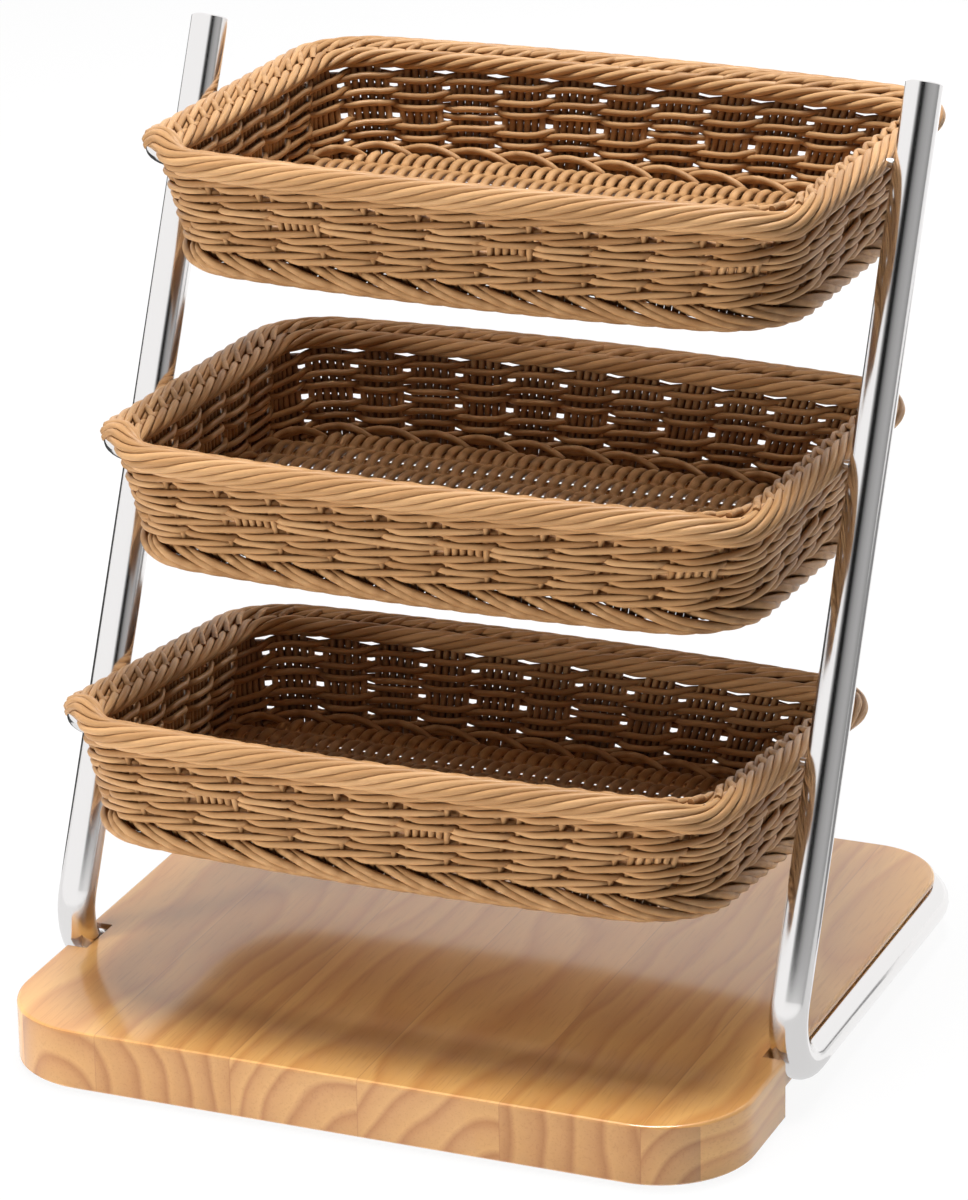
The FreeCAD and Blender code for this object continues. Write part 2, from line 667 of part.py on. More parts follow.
def make_floor(tier):
    """Strands from front to rear over a few that run from side to side, inside the foot."""
    points = foot_outline(LONG_CHORD_COUNT, 1, CORNER_CHORD_COUNT)
    inset = size("foot_roll") / 2 + size("floor_seat")
    edge = [point - step * inset for point, step in zip(points, outward(points))]
    thick = size("floor_thickness")
    top = size("floor_rise") - size("foot_drop")
    region = Part.Face(Part.makePolygon(edge + edge[:1]))
    half_width = max(point.x for point in edge) + size("foot_aside")
    half_depth = max(point.y for point in edge)
    pitch = (2 * half_width + size("floor_gap")) / FLOOR_STRANDS
    width = pitch - size("floor_gap")
    upper = region.extrude(Z_AXIS * thick)
    upper.translate(Z_AXIS * (top - thick))
    lower = region.extrude(Z_AXIS * thick)
    lower.translate(Z_AXIS * (top - 2 * thick))
    strands = []
    for strand in range(FLOOR_STRANDS):
        corner = Vector(-half_width - size("foot_aside") + pitch * strand, -half_depth, top - thick)
        strands += upper.common(Part.makeBox(width, 2 * half_depth, thick, corner)).Solids
    spread = (FOOT_DEPTH - 2 * size("foot_corner")) / (CROSS_STRANDS - 1)
    for strand in range(CROSS_STRANDS):
        y = size("foot_shift") + spread * (strand - (CROSS_STRANDS - 1) / 2) - width / 2
        corner = Vector(-half_width - size("foot_aside"), y, top - 2 * thick)
        strands += lower.common(Part.makeBox(2 * half_width, width, thick, corner)).Solids
    return feature(tier + "_basket_floor", Part.makeCompound(strands), tier_place(tier))


# ---------------------------------------------------------------- assembly
WEAVER_ROWS = weaver_rows()


def make_all():
    """Every node of the rack, in the order in which it is put together."""
    nodes = [make_board(), make_pads(), make_frame_tube(), make_end_caps(), make_rear_screws()]
    for tier in TIERS:
        nodes += [make_ring(tier), make_border(tier), make_stakes(tier), make_weavers(tier),
                  make_foot(tier), make_floor(tier)]
    return nodes


def check(nodes):
    """Stop if any object failed or any node's shape is unusable."""
    for item in doc.Objects:
        if "Invalid" in item.State or "Error" in item.State:
            raise RuntimeError("%s failed: %s" % (item.Name, item.State))
    for node in nodes:
        if node.Shape.isNull() or not node.Shape.isValid() or not node.Shape.Solids:
            raise RuntimeError("%s has no sound shape" % node.Label)


def export(nodes):
    """One STEP file for each node."""
    os.makedirs(PARTS, exist_ok=True)
    for node in nodes:
        node.Shape.exportStep(os.path.join(PARTS, node.Label + ".step"))
        print("%-24s %3d solids %10.1f mm3" % (node.Label, len(node.Shape.Solids), node.Shape.Volume))


nodes = make_all()
doc.recompute()
check(nodes)
export(nodes)
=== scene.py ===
# %% [markdown]
# # A bakery bread rack, dressed around its packed model
#
# The rack is a board, one bent steel tube, three wire rings and three woven baskets.  The hard
# pieces come from the packed model and get their finishes here.  The baskets are woven here strand
# by strand, because their look is their strands.

# %% Load the packed model
import bmesh
import bpy
import json
import math
from mathutils import Matrix, Vector


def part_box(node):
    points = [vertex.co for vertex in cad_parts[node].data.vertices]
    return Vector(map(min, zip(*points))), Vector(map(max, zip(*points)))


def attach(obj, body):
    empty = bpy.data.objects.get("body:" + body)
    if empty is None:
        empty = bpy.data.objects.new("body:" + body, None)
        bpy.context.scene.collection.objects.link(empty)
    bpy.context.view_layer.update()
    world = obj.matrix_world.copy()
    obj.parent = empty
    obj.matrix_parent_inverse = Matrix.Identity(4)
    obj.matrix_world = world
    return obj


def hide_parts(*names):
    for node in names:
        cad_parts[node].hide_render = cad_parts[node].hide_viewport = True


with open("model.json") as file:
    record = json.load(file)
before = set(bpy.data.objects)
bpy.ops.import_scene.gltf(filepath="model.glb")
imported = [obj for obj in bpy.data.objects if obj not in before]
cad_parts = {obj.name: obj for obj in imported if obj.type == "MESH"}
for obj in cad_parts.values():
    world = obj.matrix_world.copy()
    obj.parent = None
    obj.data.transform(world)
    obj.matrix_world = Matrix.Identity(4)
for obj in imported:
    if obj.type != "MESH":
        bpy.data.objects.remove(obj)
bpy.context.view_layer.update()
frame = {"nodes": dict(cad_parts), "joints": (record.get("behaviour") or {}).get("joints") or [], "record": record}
nodes = frame["nodes"]
scene = bpy.context.scene
TIERS = ("top", "middle", "bottom")


# %% [markdown]
# ## Camera
#
# The camera looks at the middle of the rack from the front right and a little above.  A short lens
# close by would spread the two uprights apart, so this is a long lens from far away, and they stay
# nearly parallel.  A camera looks along its own -Z axis: to_track_quat turns that axis towards the
# target, and a last small roll about it levels the picture.

# %% Camera
CAMERA_PLACE = Vector((1.00257, -2.40680, 1.20599))
CAMERA_TARGET = Vector((0.0, -0.01934, 0.20973))
CAMERA_ROLL = math.radians(-1.023)
CAMERA_LENS = 167.97    # millimetres
SENSOR_HEIGHT = 36.0    # millimetres
SIGHT = 50.0            # metres that the camera sees


def aimed(place, target):
    """Matrix of a camera or lamp that stands at a place and looks at a target."""
    turn = (Vector(target) - Vector(place)).to_track_quat("-Z", "Y").to_matrix().to_4x4()
    return Matrix.Translation(place) @ turn


def make_camera():
    """Camera that looks at the middle of the rack."""
    data = bpy.data.cameras.new("camera")
    data.sensor_fit = "VERTICAL"
    data.sensor_height = SENSOR_HEIGHT
    data.lens = CAMERA_LENS
    data.clip_end = SIGHT
    camera = bpy.data.objects.new("camera", data)
    scene.collection.objects.link(camera)
    level = aimed(CAMERA_PLACE, CAMERA_TARGET)
    camera.matrix_world = level @ Matrix.Rotation(CAMERA_ROLL, 4, "Z")
    scene.camera = camera


make_camera()
print("camera:", round((CAMERA_TARGET - CAMERA_PLACE).length, 3), "m from the rack")


# %% [markdown]
# ## A short way to write nodes
#
# Materials and Geometry Nodes trees are both made of nodes and links, and in code each node takes
# several lines: make it, set its options, wire its inputs.  One small class does these steps, so
# that the cells below can say what a tree does and not how it is wired.

# %% Node helper
class NodeTree:
    """Short way to add nodes to a tree and to wire them."""

    def __init__(self, tree):
        self.tree = tree

    def wire(self, socket, wire):
        """Link an input to another node's socket, or set it to a value."""
        if isinstance(wire, bpy.types.NodeSocket):
            self.tree.links.new(wire, socket)
        else:
            socket.default_value = wire

    def add(self, kind, wires=None, **settings):
        """New node; wires maps an input's name or number to a socket or a value."""
        node = self.tree.nodes.new(kind)
        for key, setting in settings.items():
            setattr(node, key, setting)
        for key, wire in (wires or {}).items():
            self.wire(node.inputs[key], wire)
        return node

    def math(self, operation, *wires):
        """Result of a Math node."""
        return self.add("ShaderNodeMath", dict(enumerate(wires)), operation=operation).outputs[0]


print("helper:", NodeTree.__doc__)


# %% [markdown]
# ## Trees that grow strands
#
# A woven basket is one shape, a strand, repeated hundreds of times on different paths.  It could
# be modelled by hand with bevelled curves, or with an Array modifier along a path, but then every
# change of thickness would mean doing all of it again.  Geometry Nodes take a path, move its
# points by a rule and sweep an oval along it.  The sizes are inputs of the tree, so one tree
# serves every rope.  Realize Instances and Set Material end it, and give plain geometry with its
# material.

# %% Strand tree helper
class StrandTree(NodeTree):
    """Geometry Nodes tree with named inputs, which ends in realized, coated strands."""

    def __init__(self, name, inputs):
        super().__init__(bpy.data.node_groups.new(name, "GeometryNodeTree"))
        face = self.tree.interface
        face.new_socket("Geometry", in_out="INPUT", socket_type="NodeSocketGeometry")
        for label, (kind, default) in inputs.items():
            socket = face.new_socket(label, in_out="INPUT", socket_type="NodeSocket" + kind)
            if default is not None:
                socket.default_value = default
        face.new_socket("Geometry", in_out="OUTPUT", socket_type="NodeSocketGeometry")
        self.start = self.tree.nodes.new("NodeGroupInput")

    def given(self, label):
        """Socket of one of the tree's own inputs."""
        return self.start.outputs[label]

    def vector(self, operation, *wires):
        """Result of a Vector Math node."""
        node = self.add("ShaderNodeVectorMath", dict(enumerate(wires)), operation=operation)
        return node.outputs["Vector"]

    def scaled(self, vector, factor):
        """A vector made longer or shorter."""
        node = self.add("ShaderNodeVectorMath", {0: vector, "Scale": factor}, operation="SCALE")
        return node.outputs["Vector"]

    def kept(self, geometry, name, value):
        """The same curve with a number kept on each of its points."""
        node = self.add("GeometryNodeStoreNamedAttribute",
                        {"Geometry": geometry, "Name": name, "Value": value},
                        data_type="FLOAT", domain="POINT")
        return node.outputs[0]

    def finish(self, geometry):
        """End of the tree: real geometry with its material."""
        realized = self.add("GeometryNodeRealizeInstances", {0: geometry})
        coated = self.add("GeometryNodeSetMaterial",
                          {0: realized.outputs[0], "Material": self.given("Material")})
        end = self.tree.nodes.new("NodeGroupOutput")
        self.tree.links.new(coated.outputs[0], end.inputs[0])
        return self.tree


print("helper:", StrandTree.__doc__)


# %% [markdown]
# ## One strand
#
# Real basket strand is a round tube or cane a few millimetres thick, and no two pieces have quite
# the same colour.  Each strand carries three numbers for its material: its own tone, the length
# along it and the turn round it.  The sine of a large number gives each strand a tone that looks
# random and is the same in every run.

# %% Oval strand with its tone
TONE_STEP, TONE_SPREAD = 12.9898, 437.585   # any two large, odd-looking numbers do


def strand_body(tree, curve, index):
    """Curve turned into oval strands, which carry their tone, length and turn."""
    seeded = tree.math("ADD", index, tree.given("Seed"))
    wave = tree.math("SINE", tree.math("MULTIPLY", seeded, TONE_STEP))
    tone = tree.math("FRACT", tree.math("MULTIPLY", wave, TONE_SPREAD))
    along = tree.add("GeometryNodeSplineParameter").outputs["Length"]
    measured = tree.kept(tree.kept(curve, "tone", tone), "along", along)
    level = tree.add("GeometryNodeSetCurveNormal", {0: measured})
    level.mode = "Z_UP"
    ring = tree.add("GeometryNodeCurvePrimitiveCircle",
                    {"Resolution": tree.given("Sides"), "Radius": 0.5})
    size = tree.add("ShaderNodeCombineXYZ",
                    {"X": tree.given("Thickness"), "Y": tree.given("Width"), "Z": 1.0}).outputs[0]
    oval = tree.add("GeometryNodeTransform", {"Geometry": ring.outputs[0], "Scale": size})
    round_it = tree.add("GeometryNodeSplineParameter").outputs["Factor"]
    turned = tree.kept(oval.outputs[0], "round", round_it)
    body = tree.add("GeometryNodeCurveToMesh",
                    {"Curve": level.outputs[0], "Profile Curve": turned, "Fill Caps": True})
    return body.outputs[0]


STRAND_INPUTS = {
    "Strands": ("Int", 3), "Stations": ("Int", 300), "Sides": ("Int", 8),
    "Width": ("Float", 0.0045), "Thickness": ("Float", 0.0035), "Seed": ("Float", 0.0),
    "Material": ("Material", None)}
print("inputs of every strand tree:", ", ".join(STRAND_INPUTS))


# %% [markdown]
# ## Strands that follow a closed line
#
# The border and the wall rows go right round the basket.  Both trees copy the same closed line
# once for each strand, and then move every point outwards and upwards by a rule of its own.  The
# direction out of the line is its tangent turned through a right angle.

# %% Copies of a line, moved point by point
def copied_line(tree):
    """The given line once for each strand, the strand's number and the share of the way round."""
    resampled = tree.add("GeometryNodeResampleCurve",
                         {"Curve": tree.given("Geometry"), "Count": tree.given("Stations")})
    copies = tree.add("GeometryNodeDuplicateElements",
                      {"Geometry": resampled.outputs[0], "Amount": tree.given("Strands")},
                      domain="SPLINE")
    factor = tree.add("GeometryNodeSplineParameter").outputs["Factor"]
    return copies.outputs["Geometry"], copies.outputs["Duplicate Index"], factor


def moved_strands(tree, curve, index, reach, rise):
    """Strands along a curve whose points go outwards by reach and upwards by rise."""
    tangent = tree.add("GeometryNodeInputTangent").outputs[0]
    across = tree.vector("CROSS_PRODUCT", tangent, (0.0, 0.0, 1.0))
    outward = tree.vector("NORMALIZE", across)
    lift = tree.add("ShaderNodeCombineXYZ", {"Z": rise}).outputs[0]
    offset = tree.vector("ADD", tree.scaled(outward, reach), lift)
    moved = tree.add("GeometryNodeSetPosition", {"Geometry": curve, "Offset": offset}).outputs[0]
    return tree.finish(strand_body(tree, moved, index))


print("helpers:", copied_line.__name__, moved_strands.__name__)


# %% [markdown]
# ## Rope
#
# The rolled border of a basket is a bundle of strands that wind round a core together.  A point
# that turns on a circle while it travels along a line draws such a strand, and the others follow
# at even shares of the turn.

# %% Rope tree
def rope_tree():
    """Strands laid side by side round a roll, as on the border."""
    tree = StrandTree("rope", dict(STRAND_INPUTS, Roll=("Float", 0.005), Turns=("Float", 10.0)))
    curve, index, factor = copied_line(tree)
    share = tree.math("DIVIDE", index, tree.given("Strands"))
    turns = tree.math("MULTIPLY_ADD", factor, tree.given("Turns"), share)
    turn = tree.math("MULTIPLY", turns, math.tau)
    reach = tree.math("MULTIPLY", tree.math("COSINE", turn), tree.given("Roll"))
    rise = tree.math("MULTIPLY", tree.math("SINE", turn), tree.given("Roll"))
    return moved_strands(tree, curve, index, reach, rise)


ROPE = rope_tree()
print("rope tree:", len(ROPE.nodes), "nodes")


# %% [markdown]
# ## Wall rows
#
# A weaver takes two or three strands at once.  Each passes outside two stakes, goes inside the
# next, and starts one stake behind the strand before it.  In the tree this is a phase that counts
# stakes and starts again after each period.  A smooth step brings the strand out, and another
# takes it in.  While it is outside it climbs a little, so that it can pass over its neighbour.

# %% Wall row tree
WALE_INPUTS = dict(
    STRAND_INPUTS, Stakes=("Int", 36), Period=("Float", 3.0), Front=("Float", 0.667),
    Depth=("Float", 0.003), Rise=("Float", 0.002), Cross=("Float", 0.22), Shift=("Float", 0.0),
    Dip=("Float", 0.0007), Stagger=("Float", 0.0008))


def smooth_step(tree, phase, middle, half):
    """0 before a place in the phase and 1 after it, with a soft change between the two."""
    ramp = tree.add("ShaderNodeMapRange",
                    {"Value": phase, "From Min": tree.math("SUBTRACT", middle, half),
                     "From Max": tree.math("ADD", middle, half)},
                    interpolation_type="SMOOTHSTEP")
    return ramp.outputs["Result"]


def wale_tree():
    """Strands that pass outside some stakes and inside the next, each a step behind the last."""
    tree = StrandTree("wale", WALE_INPUTS)
    curve, index, factor = copied_line(tree)
    counted = tree.math("MULTIPLY_ADD", factor, tree.given("Stakes"), tree.given("Shift"))
    steps = tree.math("ADD", counted, index)
    phase = tree.math("FRACT", tree.math("DIVIDE", steps, tree.given("Period")))
    behind = tree.math("MULTIPLY", tree.math("SUBTRACT", 1.0, tree.given("Front")), 0.5)
    half = tree.math("MULTIPLY", tree.given("Cross"), 0.5)
    out_again = smooth_step(tree, phase, behind, half)
    in_again = smooth_step(tree, phase, tree.math("SUBTRACT", 1.0, behind), half)
    ahead = tree.math("SUBTRACT", out_again, in_again)
    reach = tree.math("MULTIPLY", tree.math("MULTIPLY_ADD", ahead, 2.0, -1.0), tree.given("Depth"))
    return moved_strands(tree, curve, index, reach, row_rise(tree, factor, phase, behind, ahead))


def row_rise(tree, factor, phase, behind, ahead):
    """Climb of a strand outside the stakes, and its small dip and stagger inside them."""
    from_middle = tree.math("SUBTRACT", phase, 0.5)
    centred = tree.math("DIVIDE", from_middle, tree.math("SUBTRACT", 0.5, behind))
    outside = tree.math("MULTIPLY", centred, tree.given("Rise"))
    from_turn = tree.math("SUBTRACT", phase, tree.math("ROUND", phase))
    near = tree.math("DIVIDE", from_turn, behind)
    stakes = tree.math("MULTIPLY", factor, tree.given("Stakes"))
    every_second = tree.math("COSINE", tree.math("MULTIPLY", stakes, math.pi))
    stagger = tree.math("MULTIPLY", every_second, tree.given("Stagger"))
    dip = tree.math("MULTIPLY", tree.given("Dip"), -1.0)
    inside = tree.math("MULTIPLY_ADD", near, dip, stagger)
    return tree.math("MULTIPLY_ADD", tree.math("SUBTRACT", outside, inside), ahead, inside)


WALE = wale_tree()
print("wall row tree:", len(WALE.nodes), "nodes")


# %% [markdown]
# ## Single strands
#
# Stakes, floor strands and the strands of the foot each have a path of their own, which is worked
# out in plain Python further down.  Their tree only turns every path into a strand as it lies.

# %% Single strand tree
def bar_tree():
    """Every spline as it lies, turned into a strand."""
    tree = StrandTree("bars", STRAND_INPUTS)
    index = tree.add("GeometryNodeInputIndex").outputs[0]
    return tree.finish(strand_body(tree, tree.given("Geometry"), index))


BARS = bar_tree()
print("single strand tree:", len(BARS.nodes), "nodes")


# %% [markdown]
# ## From paths to a mesh
#
# A tree needs a curve to work on.  The paths become poly splines, a modifier with the tree is put
# on them, and its inputs are set by their identifiers before the first look at the result.
# new_from_object then copies the result into a plain mesh, and the curve with its modifier is
# thrown away.

# %% Grow a mesh on paths
def splines(name, paths, closed):
    """Curve object with one poly spline for each list of points."""
    curve = bpy.data.curves.new(name, "CURVE")
    curve.dimensions = "3D"
    for points in paths:
        spline = curve.splines.new("POLY")
        spline.points.add(len(points) - 1)
        spline.points.foreach_set("co", [c for p in points for c in (p[0], p[1], p[2], 1.0)])
        spline.use_cyclic_u = closed
    shown = bpy.data.objects.new(name, curve)
    scene.collection.objects.link(shown)
    return shown


def grown(name, tree, paths, closed, **values):
    """Mesh object that the tree grows on the paths."""
    source = splines(name + "_path", paths, closed)
    modifier = source.modifiers.new("grow", "NODES")
    modifier.node_group = tree
    for item in tree.interface.items_tree:
        if item.in_out == "INPUT" and item.name in values:
            modifier[item.identifier] = values[item.name]
    depsgraph = bpy.context.evaluated_depsgraph_get()
    mesh = bpy.data.meshes.new_from_object(source.evaluated_get(depsgraph), depsgraph=depsgraph)
    bpy.data.objects.remove(source)
    piece = bpy.data.objects.new(name, mesh)
    scene.collection.objects.link(piece)
    return piece


print("helpers:", splines.__name__, grown.__name__)


# %% [markdown]
# ## Materials
#
# Every finish below is a Principled BSDF whose colour comes from a few nodes.  The helper adds
# colour ramps and mixes to the node helper from above.  Colours are written as a painter reads
# them, from 0 to 255, and turned into the linear values that light is computed with.

# %% Finish helper
class Finish(NodeTree):
    """Short way to write a material's nodes."""

    def __init__(self, name):
        self.material = bpy.data.materials.new(name)
        self.material.use_nodes = True
        super().__init__(self.material.node_tree)
        self.tree.nodes.clear()

    def ramp(self, factor, *stops):
        """Colour ramp; each stop is a place between 0 and 1 and a linear colour."""
        node = self.add("ShaderNodeValToRGB", {"Fac": factor})
        points = node.color_ramp.elements
        while len(points) < len(stops):
            points.new(0.5)
        for point, (place, colour) in zip(points, stops):
            point.position = place
            point.color = (*colour, 1.0)
        return node.outputs["Color"]

    def mixed(self, factor, first, second, kind="MIX"):
        """Colour mix of two colours; the node's colour inputs are its sixth and seventh."""
        node = self.add("ShaderNodeMix", {0: factor}, data_type="RGBA", blend_type=kind)
        for key, colour in ((6, first), (7, second)):
            self.wire(node.inputs[key], (*colour, 1.0) if isinstance(colour, tuple) else colour)
        return node.outputs[2]

    def surface(self, **inputs):
        """Principled BSDF with these inputs, wired to the output; gives the material."""
        named = {key.replace("_", " "): wire for key, wire in inputs.items()}
        return self.end(self.add("ShaderNodeBsdfPrincipled", named))

    def glow(self, strength):
        """Plain white light of this strength, wired to the output; gives the material."""
        return self.end(self.add("ShaderNodeEmission",
                                 {"Color": (1, 1, 1, 1), "Strength": strength}))

    def end(self, shader):
        """Wires a shader node to the output and gives the material."""
        out = self.add("ShaderNodeOutputMaterial")
        self.tree.links.new(shader.outputs[0], out.inputs[0])
        return self.material


def linear(red, green, blue):
    """Linear colour of an sRGB colour, whose three values lie between 11 and 255."""
    return tuple(((c / 255 + 0.055) / 1.055) ** 2.4 for c in (red, green, blue))


def grey(level):
    """The same value for red, green and blue."""
    return (level, level, level)


print("middle grey is", round(linear(128, 128, 128)[0], 3), "in linear light")


# %% [markdown]
# ## Woven strand
#
# The strands are caramel brown with a soft sheen.  Their tone differs from strand to strand, fine
# streaks run along them, and the deep places between them get painted shade in their colour.  A
# picture of wicker would repeat and would not follow the strands.  Here the colour follows the
# numbers that each strand carries, and an Ambient Occlusion node paints shade into the colour
# wherever another strand lies within a few millimetres.

# %% Woven strand
STREAK_LENGTH, STREAK_ROUND, STREAK_APART = 9.0, 7.0, 50.0
# Reach of the painted shade: a strand's colour darkens where another strand lies this close.
PAINTED_SHADE_REACH = 0.005   # metres to the next strand


def strand_material():
    """Caramel strand with its own tone, streaks along it and painted shade in its recesses."""
    finish = Finish("woven_strand")
    tone, along, turn = (finish.add("ShaderNodeAttribute", attribute_name=name).outputs["Fac"]
                         for name in ("tone", "along", "round"))
    place = finish.add("ShaderNodeCombineXYZ",
                       {"X": finish.math("MULTIPLY", along, STREAK_LENGTH),
                        "Y": finish.math("MULTIPLY", turn, STREAK_ROUND),
                        "Z": finish.math("MULTIPLY", tone, STREAK_APART)}).outputs[0]
    streaks = finish.add("ShaderNodeTexNoise",
                         {"Vector": place, "Scale": 3.0, "Detail": 2.0}).outputs["Fac"]
    plain = finish.ramp(tone, (0.0, linear(163, 121, 79)), (0.5, linear(179, 137, 93)),
                        (1.0, linear(194, 152, 107)))
    shade = finish.ramp(streaks, (0.3, (0.86, 0.84, 0.82)), (0.7, grey(1.06)))
    streaked = finish.mixed(1.0, plain, shade, "MULTIPLY")
    # Painted shade: the Ambient Occlusion node darkens the colour in the recesses between strands.
    openness = finish.add("ShaderNodeAmbientOcclusion", {"Distance": PAINTED_SHADE_REACH},
                          samples=6).outputs["AO"]
    painted_recess_shade = finish.ramp(openness, (0.15, (0.42, 0.31, 0.22)), (0.60, grey(1.0)))
    colour = finish.mixed(1.0, streaked, painted_recess_shade, "MULTIPLY")
    dents = finish.add("ShaderNodeBump",
                       {"Height": streaks, "Strength": 0.25, "Distance": 0.0006}).outputs[0]
    return finish.surface(Base_Color=colour, Roughness=0.38, Specular_IOR_Level=0.22, Normal=dents)


STRAND = strand_material()
print("strand:", len(STRAND.node_tree.nodes), "nodes")


# %% [markdown]
# ## Steel and rubber
#
# The tube and the rings are mirror-polished stainless steel, so their look is what they reflect:
# the studio at the end of this file matters more to them than their own few numbers.  The screws
# behind the board are duller, and the pads under it are dark rubber.

# %% Steel and rubber
def metal(name, colour, roughness):
    """Bare metal."""
    return Finish(name).surface(Base_Color=(*colour, 1), Metallic=1.0, Roughness=roughness)


CAD_MATERIALS = {
    "polished_steel": metal("polished_steel", (0.86, 0.845, 0.84), 0.15),
    "screw_steel": metal("screw_steel", (0.55, 0.55, 0.56), 0.3),
    "pad_rubber": Finish("pad_rubber").surface(Base_Color=(*grey(0.03), 1), Roughness=0.8)}
print("plain finishes:", ", ".join(CAD_MATERIALS))


# %% [markdown]
# ## Wood
#
# The board is glued from staves of rubberwood that run from front to rear, under a glossy varnish.
# A plank is cut from a log, and its grain is the log's year rings where the cut meets them: long
# strokes and arches on the top, arcs on the end.  An image of planks would show the same grain on
# both faces.  Here each stave gets the middle of its own log as a point somewhere near it, and the
# distance from that middle gives the rings on every face at once.

# %% Staves of the board
STAVE_EDGES = (-0.132, -0.0595, 0.0075, 0.081, 0.1525)
STAVE_WIDTH, FIRST_MIDDLE = 0.0705, -0.166
JOINT_HALF = 0.0003


def staves(finish, across):
    """Number of the stave at a place across the board, and 1 on the joints between two."""
    stave = joint = 0.0
    for edge in STAVE_EDGES:
        stave = finish.math("ADD", stave, finish.math("GREATER_THAN", across, edge))
        apart = finish.math("ABSOLUTE", finish.math("SUBTRACT", across, edge))
        joint = finish.math("MAXIMUM", joint, finish.math("LESS_THAN", apart, JOINT_HALF))
    return stave, joint


print("staves:", len(STAVE_EDGES) + 1)

# %% Year rings of a stave
LOG_ASIDE, LOG_TILT, LOG_UNDER = (0.17, -0.085), (0.12, -0.06), (0.11, -0.06)
WANDER_STRETCH = (1.0, 0.5, 1.0)
WANDER = 0.065            # metres that the rings stray from true circles
RINGS_PER_METRE = 72.0


def year_rings(finish, place, stave, moved, chance):
    """Place within a year, from 0 to 1, at any point of the board."""
    across, deep, high = place
    stretched = finish.add("ShaderNodeMapping", {"Vector": moved, "Scale": WANDER_STRETCH})
    drift = finish.add("ShaderNodeTexNoise", {"Vector": stretched.outputs[0], "Scale": 11.0,
                                              "Detail": 1.5}).outputs["Fac"]
    by_x, by_y, by_z = finish.add("ShaderNodeSeparateXYZ", {"Vector": chance}).outputs
    middle = finish.math("MULTIPLY_ADD", stave, STAVE_WIDTH, FIRST_MIDDLE)
    aside = finish.math("MULTIPLY_ADD", by_x, *LOG_ASIDE)
    from_x = finish.math("SUBTRACT", across, finish.math("ADD", middle, aside))
    tilt = finish.math("MULTIPLY", deep, finish.math("MULTIPLY_ADD", by_y, *LOG_TILT))
    under = finish.math("ADD", finish.math("MULTIPLY_ADD", by_z, *LOG_UNDER), tilt)
    from_z = finish.math("ADD", high, under)
    squares = finish.math("ADD", finish.math("MULTIPLY", from_x, from_x),
                          finish.math("MULTIPLY", from_z, from_z))
    wavy = finish.math("MULTIPLY_ADD", drift, WANDER, finish.math("SQRT", squares))
    return finish.math("FRACT", finish.math("MULTIPLY", wavy, RINGS_PER_METRE))


print("a year is", round(1000 / RINGS_PER_METRE, 1), "mm wide")

# %% Rubberwood under varnish
FIBRE_STRETCH = (1.0, 0.05, 1.0)
END_SLOPE = 0.72          # past this a face looks forwards or back and shows end grain
JOINT_DARK, PORES_DARK = 0.3, 0.2


def wood_material():
    """Varnished staves with year rings, end grain, fine fibres and pores."""
    finish = Finish("rubberwood")
    point = finish.add("ShaderNodeTexCoord").outputs["Object"]
    place = finish.add("ShaderNodeSeparateXYZ", {"Vector": point}).outputs
    stave, joint = staves(finish, place[0])
    drawn = finish.add("ShaderNodeTexWhiteNoise", {"W": stave}, noise_dimensions="1D").outputs
    moved = finish.add("ShaderNodeVectorMath", {0: point, 1: drawn["Color"]},
                       operation="ADD").outputs[0]
    year = year_rings(finish, place, stave, moved, drawn["Color"])
    rings = finish.ramp(year, (0.0, grey(0.0)), (0.55, grey(0.45)), (0.8, grey(1.0)),
                        (1.0, grey(0.0)))
    normal = finish.add("ShaderNodeNewGeometry").outputs["Normal"]
    facing = finish.add("ShaderNodeSeparateXYZ", {"Vector": normal}).outputs[1]
    end_grain = finish.math("GREATER_THAN", finish.math("ABSOLUTE", facing), END_SLOPE)
    face = finish.mixed(rings, linear(221, 168, 98), linear(202, 142, 75))
    end = finish.mixed(rings, linear(193, 145, 88), linear(166, 112, 62))
    tint = finish.ramp(drawn["Value"], (0.0, (0.98, 0.95, 0.89)), (1.0, (1.09, 1.10, 1.10)))
    toned = finish.mixed(1.0, finish.mixed(end_grain, face, end), tint, "MULTIPLY")
    grained = fibres(finish, toned, moved)
    colour = finish.mixed(finish.math("MULTIPLY", joint, JOINT_DARK), grained, linear(150, 92, 48))
    return finish.surface(Base_Color=colour, Roughness=0.4, Coat_Weight=1.0, Coat_Roughness=0.12)


def fibres(finish, colour, moved):
    """Fine light and dark fibres along the stave, and small dark pores."""
    stretched = finish.add("ShaderNodeMapping", {"Vector": moved, "Scale": FIBRE_STRETCH})
    along = stretched.outputs[0]
    fine = finish.add("ShaderNodeTexNoise", {"Vector": along, "Scale": 220.0, "Detail": 4.0,
                                             "Roughness": 0.65}).outputs["Fac"]
    pores = finish.add("ShaderNodeTexNoise", {"Vector": along, "Scale": 900.0,
                                              "Detail": 2.0}).outputs["Fac"]
    cloud = finish.ramp(fine, (0.3, (0.97, 0.955, 0.93)), (0.65, grey(1.02)))
    dark = finish.ramp(pores, (0.36, (0.62, 0.50, 0.38)), (0.43, grey(1.0)))
    clouded = finish.mixed(1.0, colour, cloud, "MULTIPLY")
    return finish.mixed(PORES_DARK, clouded, dark, "MULTIPLY")


CAD_MATERIALS["rubberwood"] = wood_material()
print("wood:", len(CAD_MATERIALS["rubberwood"].node_tree.nodes), "nodes")


# %% [markdown]
# ## Outlines of the basketwork
#
# Each basket hangs in its ring.  All lengths below are in millimetres in the basket's own frame:
# its origin is the middle of the ring and its Z axis is the ring's normal.  The ring and the foot
# are rectangles with round corners and swollen long sides, and the wall runs straight from one to
# the other, so any height of it is a mix of the two.

